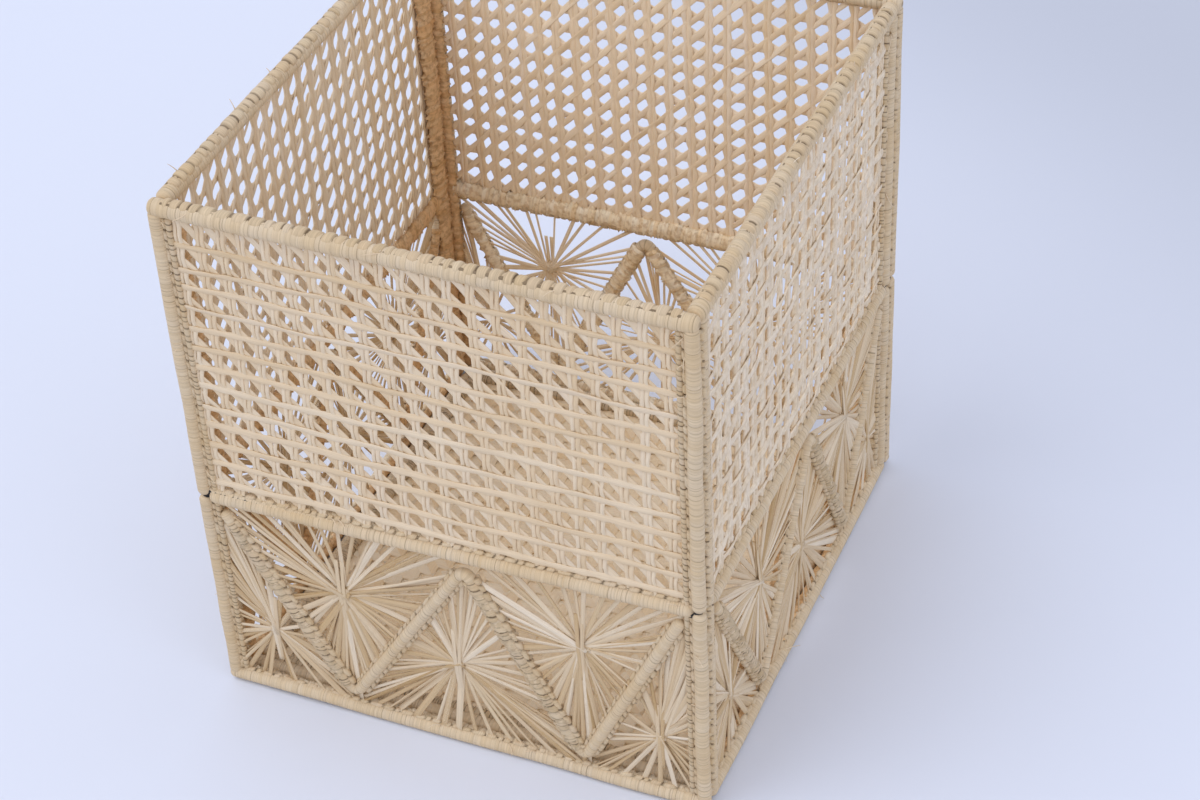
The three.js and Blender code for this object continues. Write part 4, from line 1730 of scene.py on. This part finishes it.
@dataclass
class Base:
    """The floor: wound rods round a plaited mat, stitched together, in millimetres.

    Attributes:
        strip_width: width of a plaited strip.
        strip: thickness of a plaited strip.
        wave: rise and fall of a strip over its neighbours.
        close: share of its room that a strip fills.
        stray: spread of the strips' places.
        cell_rings: rings of a strip for each crossing.
        lining: thickness of the lining.
        lining_lap: width of the lining's strips, as a share of the plaited ones.
        seam: how far the stitches stand outside the mat and above it.
        seam_radius: radius of a stitch.
    """

    strip_width: float = 3.6
    strip: float = 0.5
    wave: float = 0.3
    close: float = 0.96
    stray: float = 0.1
    cell_rings: int = 4
    lining: float = 0.2
    lining_lap: float = 1.08
    seam: float = 0.2
    seam_radius: float = 1.5

    @staticmethod
    def runs(x: float, y: float, z: float, over: float = 0.0) -> list[np.ndarray]:
        """Runs four paths round the floor.

        Args:
            x: distance of the left and right paths from the middle.
            y: distance of the front and back paths from the middle.
            z: their height.
            over: how far the front and back paths reach over the corners, where the others stop short.

        Returns:
            The front, back, left and right paths.
        """
        level = [line((-x - over, hand * y, z), (x + over, hand * y, z)) for hand in (-1, 1)]
        return level + [line((hand * x, -y + over, z), (hand * x, y - over, z)) for hand in (-1, 1)]

    def rods(self) -> Surface:
        """Winds the four rods of the base."""
        low, high = box_mm("base_frame")
        rod = (high[2] - low[2]) / 2
        rng = draws(0, Draw.BASE)
        runs = self.runs(high[0] - rod, high[1] - rod, rod, rod)
        return Surface.join([RAIL_WINDING.wind(run, UPWARD, rod, rng) for run in runs])

    def stitches(self) -> Surface:
        """Stitches the mat to the rods of the base."""
        high = box_mm("base_mat")[1]
        rng = draws(1, Draw.BASE)
        runs = self.runs(*(high + self.seam))
        return Surface.join([INNER_KNOTS.wind(run, UPWARD, self.seam_radius, rng) for run in runs])

    def mat(self) -> Surface:
        """Plaits strips over and under each other, and closes the mat with a flat lining between them.

        A strip's height is a cosine along it, and the next strip's is half a wave behind.
        """
        low, high = box_mm("base_mat")
        rng = draws(2, Draw.BASE)
        level = (low[2] + high[2]) / 2
        sheets = []
        for axis in (0, 1):
            other = 1 - axis
            span, width = high[axis] - low[axis], high[other] - low[other]
            strips, cells = round(width / self.strip_width), round(span / self.strip_width)
            pitch = width / strips
            offset = low[other] + (np.arange(strips)[:, None] + 0.5) * pitch
            run = np.linspace(0, cells, self.cell_rings * cells + 1)[None]
            over = np.cos(np.pi * (run + np.arange(strips)[:, None] + axis))
            places = [None, None, level + self.wave * over]
            places[axis] = low[axis] + run * span / cells
            places[other] = offset + self.stray * rng.standard_normal(offset.shape)
            paths = points_at(*places)
            wide = np.full((strips, 1), self.close * pitch)
            tint = rng.uniform(size=strips)
            flat = np.zeros((strips, 1))
            sheets.append(ribbons(paths, UPWARD, wide, self.strip, tint, flat))
            lining = paths[:, [0, -1]] * np.array([1, 1, 0]) + np.array([0, 0, level])
            sheets.append(ribbons(lining, UPWARD, self.lining_lap * wide, self.lining, tint, flat))
        return Surface.join(sheets)

    def build(self, dresses: dict[PalmFinish, bpy.types.Material]) -> None:
        """Makes the base's pieces and dresses them.

        Args:
            dresses: material of each finish.
        """
        self.rods().piece("base_rod_winding", dresses[ROD_FINISH], "palm_wrap", "base_frame")
        self.stitches().piece("base_stitching", dresses[STITCH_FINISH], "palm_wrap")
        self.mat().piece("base_plait", dresses[MAT_FINISH], "palm_mat", "base_mat")


@dataclass
class Studio:
    """Pale floor, soft light from the upper left and the photograph's camera, in metres and degrees.

    Attributes:
        floor_shade: colour of the floor.
        floor_half: half the floor's width.
        cloud_size: size of the floor's uneven patches.
        cloud_level: their darkest level, as a share.
        painted_shade_ahead: direction, behind the box on the right, in which painted shade darkens the floor.
        painted_shade_start: distance at which the painted shade starts.
        painted_shade_end: distance at which the painted shade is darkest.
        painted_shade_level: its darkest level, as a share.
        aim_height: height of the place that the lamps look at.
        sky_shade: colour of the light from all round.
        sky_level: its strength.
        key_shade: colour of the large lamp in front.
        key_place: its place.
        key_size: its width.
        key_power: its power in watts.
        fill_shade: colour of the low lamp on the right.
        fill_place: its place.
        fill_size: its width.
        fill_power: its power in watts.
        lens: focal length on the sensor below, in millimetres.
        sensor: sensor's width in millimetres.
        azimuth: turn of the view to the right of the front.
        elevation: height of the view.
        roll: lean of the camera.
        eye: place of the camera.
    """

    floor_shade: str = "#E2E5EC"
    floor_half: float = 4.0
    cloud_size: float = 0.3
    cloud_level: float = 0.97
    painted_shade_ahead: tuple[float, float, float] = (0.5, 0.87, 0.0)
    painted_shade_start: float = 0.1
    painted_shade_end: float = 0.33
    painted_shade_level: float = 0.75
    aim_height: float = 0.07
    sky_shade: str = "#E6ECFF"
    sky_level: float = 1.0
    key_shade: str = "#F4F6FF"
    key_place: tuple[float, float, float] = (-0.75, -0.75, 1.7)
    key_size: float = 1.4
    key_power: float = 10.8
    fill_shade: str = "#F8F6FF"
    fill_place: tuple[float, float, float] = (1.3, -0.6, 0.5)
    fill_size: float = 0.8
    fill_power: float = 1.6
    lens: float = 79.68
    sensor: float = 36.0
    azimuth: float = 24.87
    elevation: float = 38.86
    roll: float = -3.22
    eye: tuple[float, float, float] = (0.2354, -0.4843, 0.4911)

    def floor(self) -> None:
        """Lays the floor: a smooth pale board, a little uneven in shade, with painted shade behind on the
        right.
        """
        half = self.floor_half
        mesh = bpy.data.meshes.new("studio_floor")
        corners = [(-half, -half, 0), (half, -half, 0), (half, half, 0), (-half, half, 0)]
        mesh.from_pydata(corners, [], [(0, 1, 2, 3)])
        material = bpy.data.materials.new("matt_pale_board_with_painted_shade")
        tree = empty_tree(material)
        place = add_node(tree, "ShaderNodeTexCoord")
        cloud = add_node(
            tree, "ShaderNodeTexNoise", {"noise_dimensions": "3D"},
            {"Vector": place.outputs["Object"], "Scale": 1 / self.cloud_size, "Detail": 1.0},
        )
        tone = add_node(
            tree, "ShaderNodeMapRange",
            inputs={"Value": cloud.outputs[0], "To Min": self.cloud_level, "To Max": 1.0},
        )
        # Painted shade: the floor's colour darkens behind the box on the right
        behind = add_node(
            tree, "ShaderNodeVectorMath", {"operation": "DOT_PRODUCT"},
            {0: place.outputs["Object"], 1: self.painted_shade_ahead},
        )
        fall = add_node(
            tree, "ShaderNodeMapRange", {"interpolation_type": "SMOOTHSTEP"},
            {
                "Value": behind.outputs["Value"], "From Min": self.painted_shade_start, "From Max": self.painted_shade_end,
                "To Min": 1.0, "To Max": self.painted_shade_level,
            },
        )
        level = add_node(
            tree, "ShaderNodeMath", {"operation": "MULTIPLY"}, {0: tone.outputs[0], 1: fall.outputs[0]}
        )
        shade = add_node(
            tree, "ShaderNodeMix", {"data_type": "RGBA", "blend_type": "MULTIPLY"},
            {0: 1.0, 6: hex_linear(self.floor_shade), 7: level.outputs[0]},
        )
        shader = add_node(
            tree, "ShaderNodeBsdfPrincipled",
            inputs={"Base Color": shade.outputs[2], "Roughness": 0.7, "Specular IOR Level": 0.2},
        )
        add_node(tree, "ShaderNodeOutputMaterial", inputs={"Surface": shader.outputs[0]})
        mesh.materials.append(material)
        floor = bpy.data.objects.new("studio_floor", mesh)
        bpy.context.scene.collection.objects.link(floor)

    def light(self) -> None:
        """Lights the room evenly and adds a large soft lamp in front and a low one on the right."""
        world = bpy.data.worlds.new("soft_room")
        tree = empty_tree(world)
        sky = add_node(
            tree, "ShaderNodeBackground",
            inputs={"Color": hex_linear(self.sky_shade), "Strength": self.sky_level},
        )
        add_node(tree, "ShaderNodeOutputWorld", inputs={"Surface": sky.outputs[0]})
        bpy.context.scene.world = world
        self.lamp("soft_lamp", self.key_shade, self.key_place, self.key_size, self.key_power)
        self.lamp("fill_lamp", self.fill_shade, self.fill_place, self.fill_size, self.fill_power)

    def lamp(self, name: str, shade: str, place: Sequence[float], size: float, power: float) -> None:
        """Hangs a round lamp that looks at the box's middle.

        Args:
            name: lamp's name.
            shade: colour of its light.
            place: its place.
            size: its width.
            power: its power in watts.
        """
        lamp = bpy.data.lights.new(name, "AREA")
        lamp.shape = "DISK"
        lamp.size = size
        lamp.energy = power
        lamp.color = hex_linear(shade)[:3]
        aim = unit(np.array(place) - self.aim_height * UPWARD)
        right = unit(np.cross(UPWARD, aim))
        axes = np.stack([right, np.cross(aim, right), aim], axis=1)
        hung = bpy.data.objects.new(name, lamp)
        hung.matrix_world = Matrix.Translation(place) @ Matrix(axes.tolist()).to_4x4()
        bpy.context.scene.collection.objects.link(hung)

    def camera(self) -> None:
        """Sets the camera: it looks back along the azimuth and elevation, then rolls about its own axis."""
        turn, rise, roll = np.radians([self.azimuth, self.elevation, self.roll])
        back = np.array([np.sin(turn) * np.cos(rise), -np.cos(turn) * np.cos(rise), np.sin(rise)])
        right = np.array([np.cos(turn), np.sin(turn), 0.0])
        up = np.cross(back, right)
        rolled = np.stack(
            [np.cos(roll) * right + np.sin(roll) * up, np.cos(roll) * up - np.sin(roll) * right, back], axis=1
        )
        data = bpy.data.cameras.new("photo_camera")
        data.lens = self.lens
        data.sensor_width = self.sensor
        eye = bpy.data.objects.new("photo_camera", data)
        eye.matrix_world = Matrix.Translation(self.eye) @ Matrix(rolled.tolist()).to_4x4()
        bpy.context.scene.collection.objects.link(eye)
        bpy.context.scene.camera = eye


def plan_walls() -> tuple[Wall, ...]:
    """Plans the four walls and their strands and bands; right and back walls get finishes with painted light.
    """
    sizes = PanelSizes.read()
    front_low, front_high = box_mm("front_top_rail")
    right_low, right_high = box_mm("right_top_rail")
    front = (front_low[1] + front_high[1]) / 2
    right = (right_low[0] + right_high[0]) / 2
    quarter = np.pi / 2
    return (
        Wall(
            "front", 1, 0.0, (0.0, front), 1.3, sizes,
            upright_width=1.18, pair_gap=0.6, upright_bow=0.2, cross_out=0.14, diagonal_width=2.1,
            diagonal_thick=0.26, spoke_width=1.3, knot_finish=ROD_FINISH, post_finish=ROD_FINISH,
        ),
        Wall(
            "right", 2, quarter, (right, 0.0), 0.4, sizes,
            weave=Weave.PLAIN, swell=0.2, loose=2.5, upright_width=1.6, pair_gap=0.75, upright_thick=0.6,
            cross_width=2.1, cross_thick=0.45, spoke_width=1.5, fan_step=0.85, rim_side=-1.0,
            cane_finish=SPECKLED_PAINTED_LIGHT_CANE_FINISH, post_finish=ROD_FINISH,
        ),
        Wall(
            "back", 3, 2 * quarter, (0.0, -front), -0.5, sizes,
            uprights=23, spread=0.07, first_cross=68.5, last_cross=141.7, crosses=14, pair_gap=0.59,
            swell=0.25, upright_thick=0.45, cross_width=2.7, diagonal_width=1.7, diagonal_thick=0.24,
            spoke_width=0.95, fan_step=1.25, band_rise=1.2, band_shift=(1.5, 1.5), band_broad=(1.45, 1.45),
            cane_finish=PAINTED_LIGHT_CANE_FINISH, fan_finish=PAINTED_LIGHT_FAN_FINISH, knot_finish=PAINTED_LIGHT_KNOT_FINISH,
        ),
        Wall(
            "left", 4, -quarter, (-right, 0.0), 0.3, sizes,
            upright_width=1.4, pair_gap=0.58, swell=0.3, upright_thick=0.6, cross_width=2.3, fan_step=1.15,
            band_rise=1.2, band_shift=(2.2, 0.9), band_broad=(2.3, 1.4),
        ),
    )


def main() -> None:
    logging.basicConfig(level=logging.INFO, format="%(message)s")
    bpy.context.scene.view_settings.view_transform = "Standard"
    finishes = (
        ROD_FINISH, STITCH_FINISH, KNOT_FINISH, PAINTED_LIGHT_KNOT_FINISH, CANE_FINISH, SPECKLED_PAINTED_LIGHT_CANE_FINISH,
        PAINTED_LIGHT_CANE_FINISH, FAN_FINISH, PAINTED_LIGHT_FAN_FINISH, MAT_FINISH,
    )
    dresses = {finish: finish.material() for finish in finishes}
    wire = WIRE_FINISH.material()
    for wall in plan_walls():
        wall.build(dresses)
        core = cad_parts[f"{wall.name}_wire_frame"]
        core.data.materials.clear()
        core.data.materials.append(wire)
    Corners().build(dresses[STITCH_FINISH])
    Base().build(dresses)
    studio = Studio()
    studio.floor()
    studio.light()
    studio.camera()


if __name__ == "__main__":
    main()
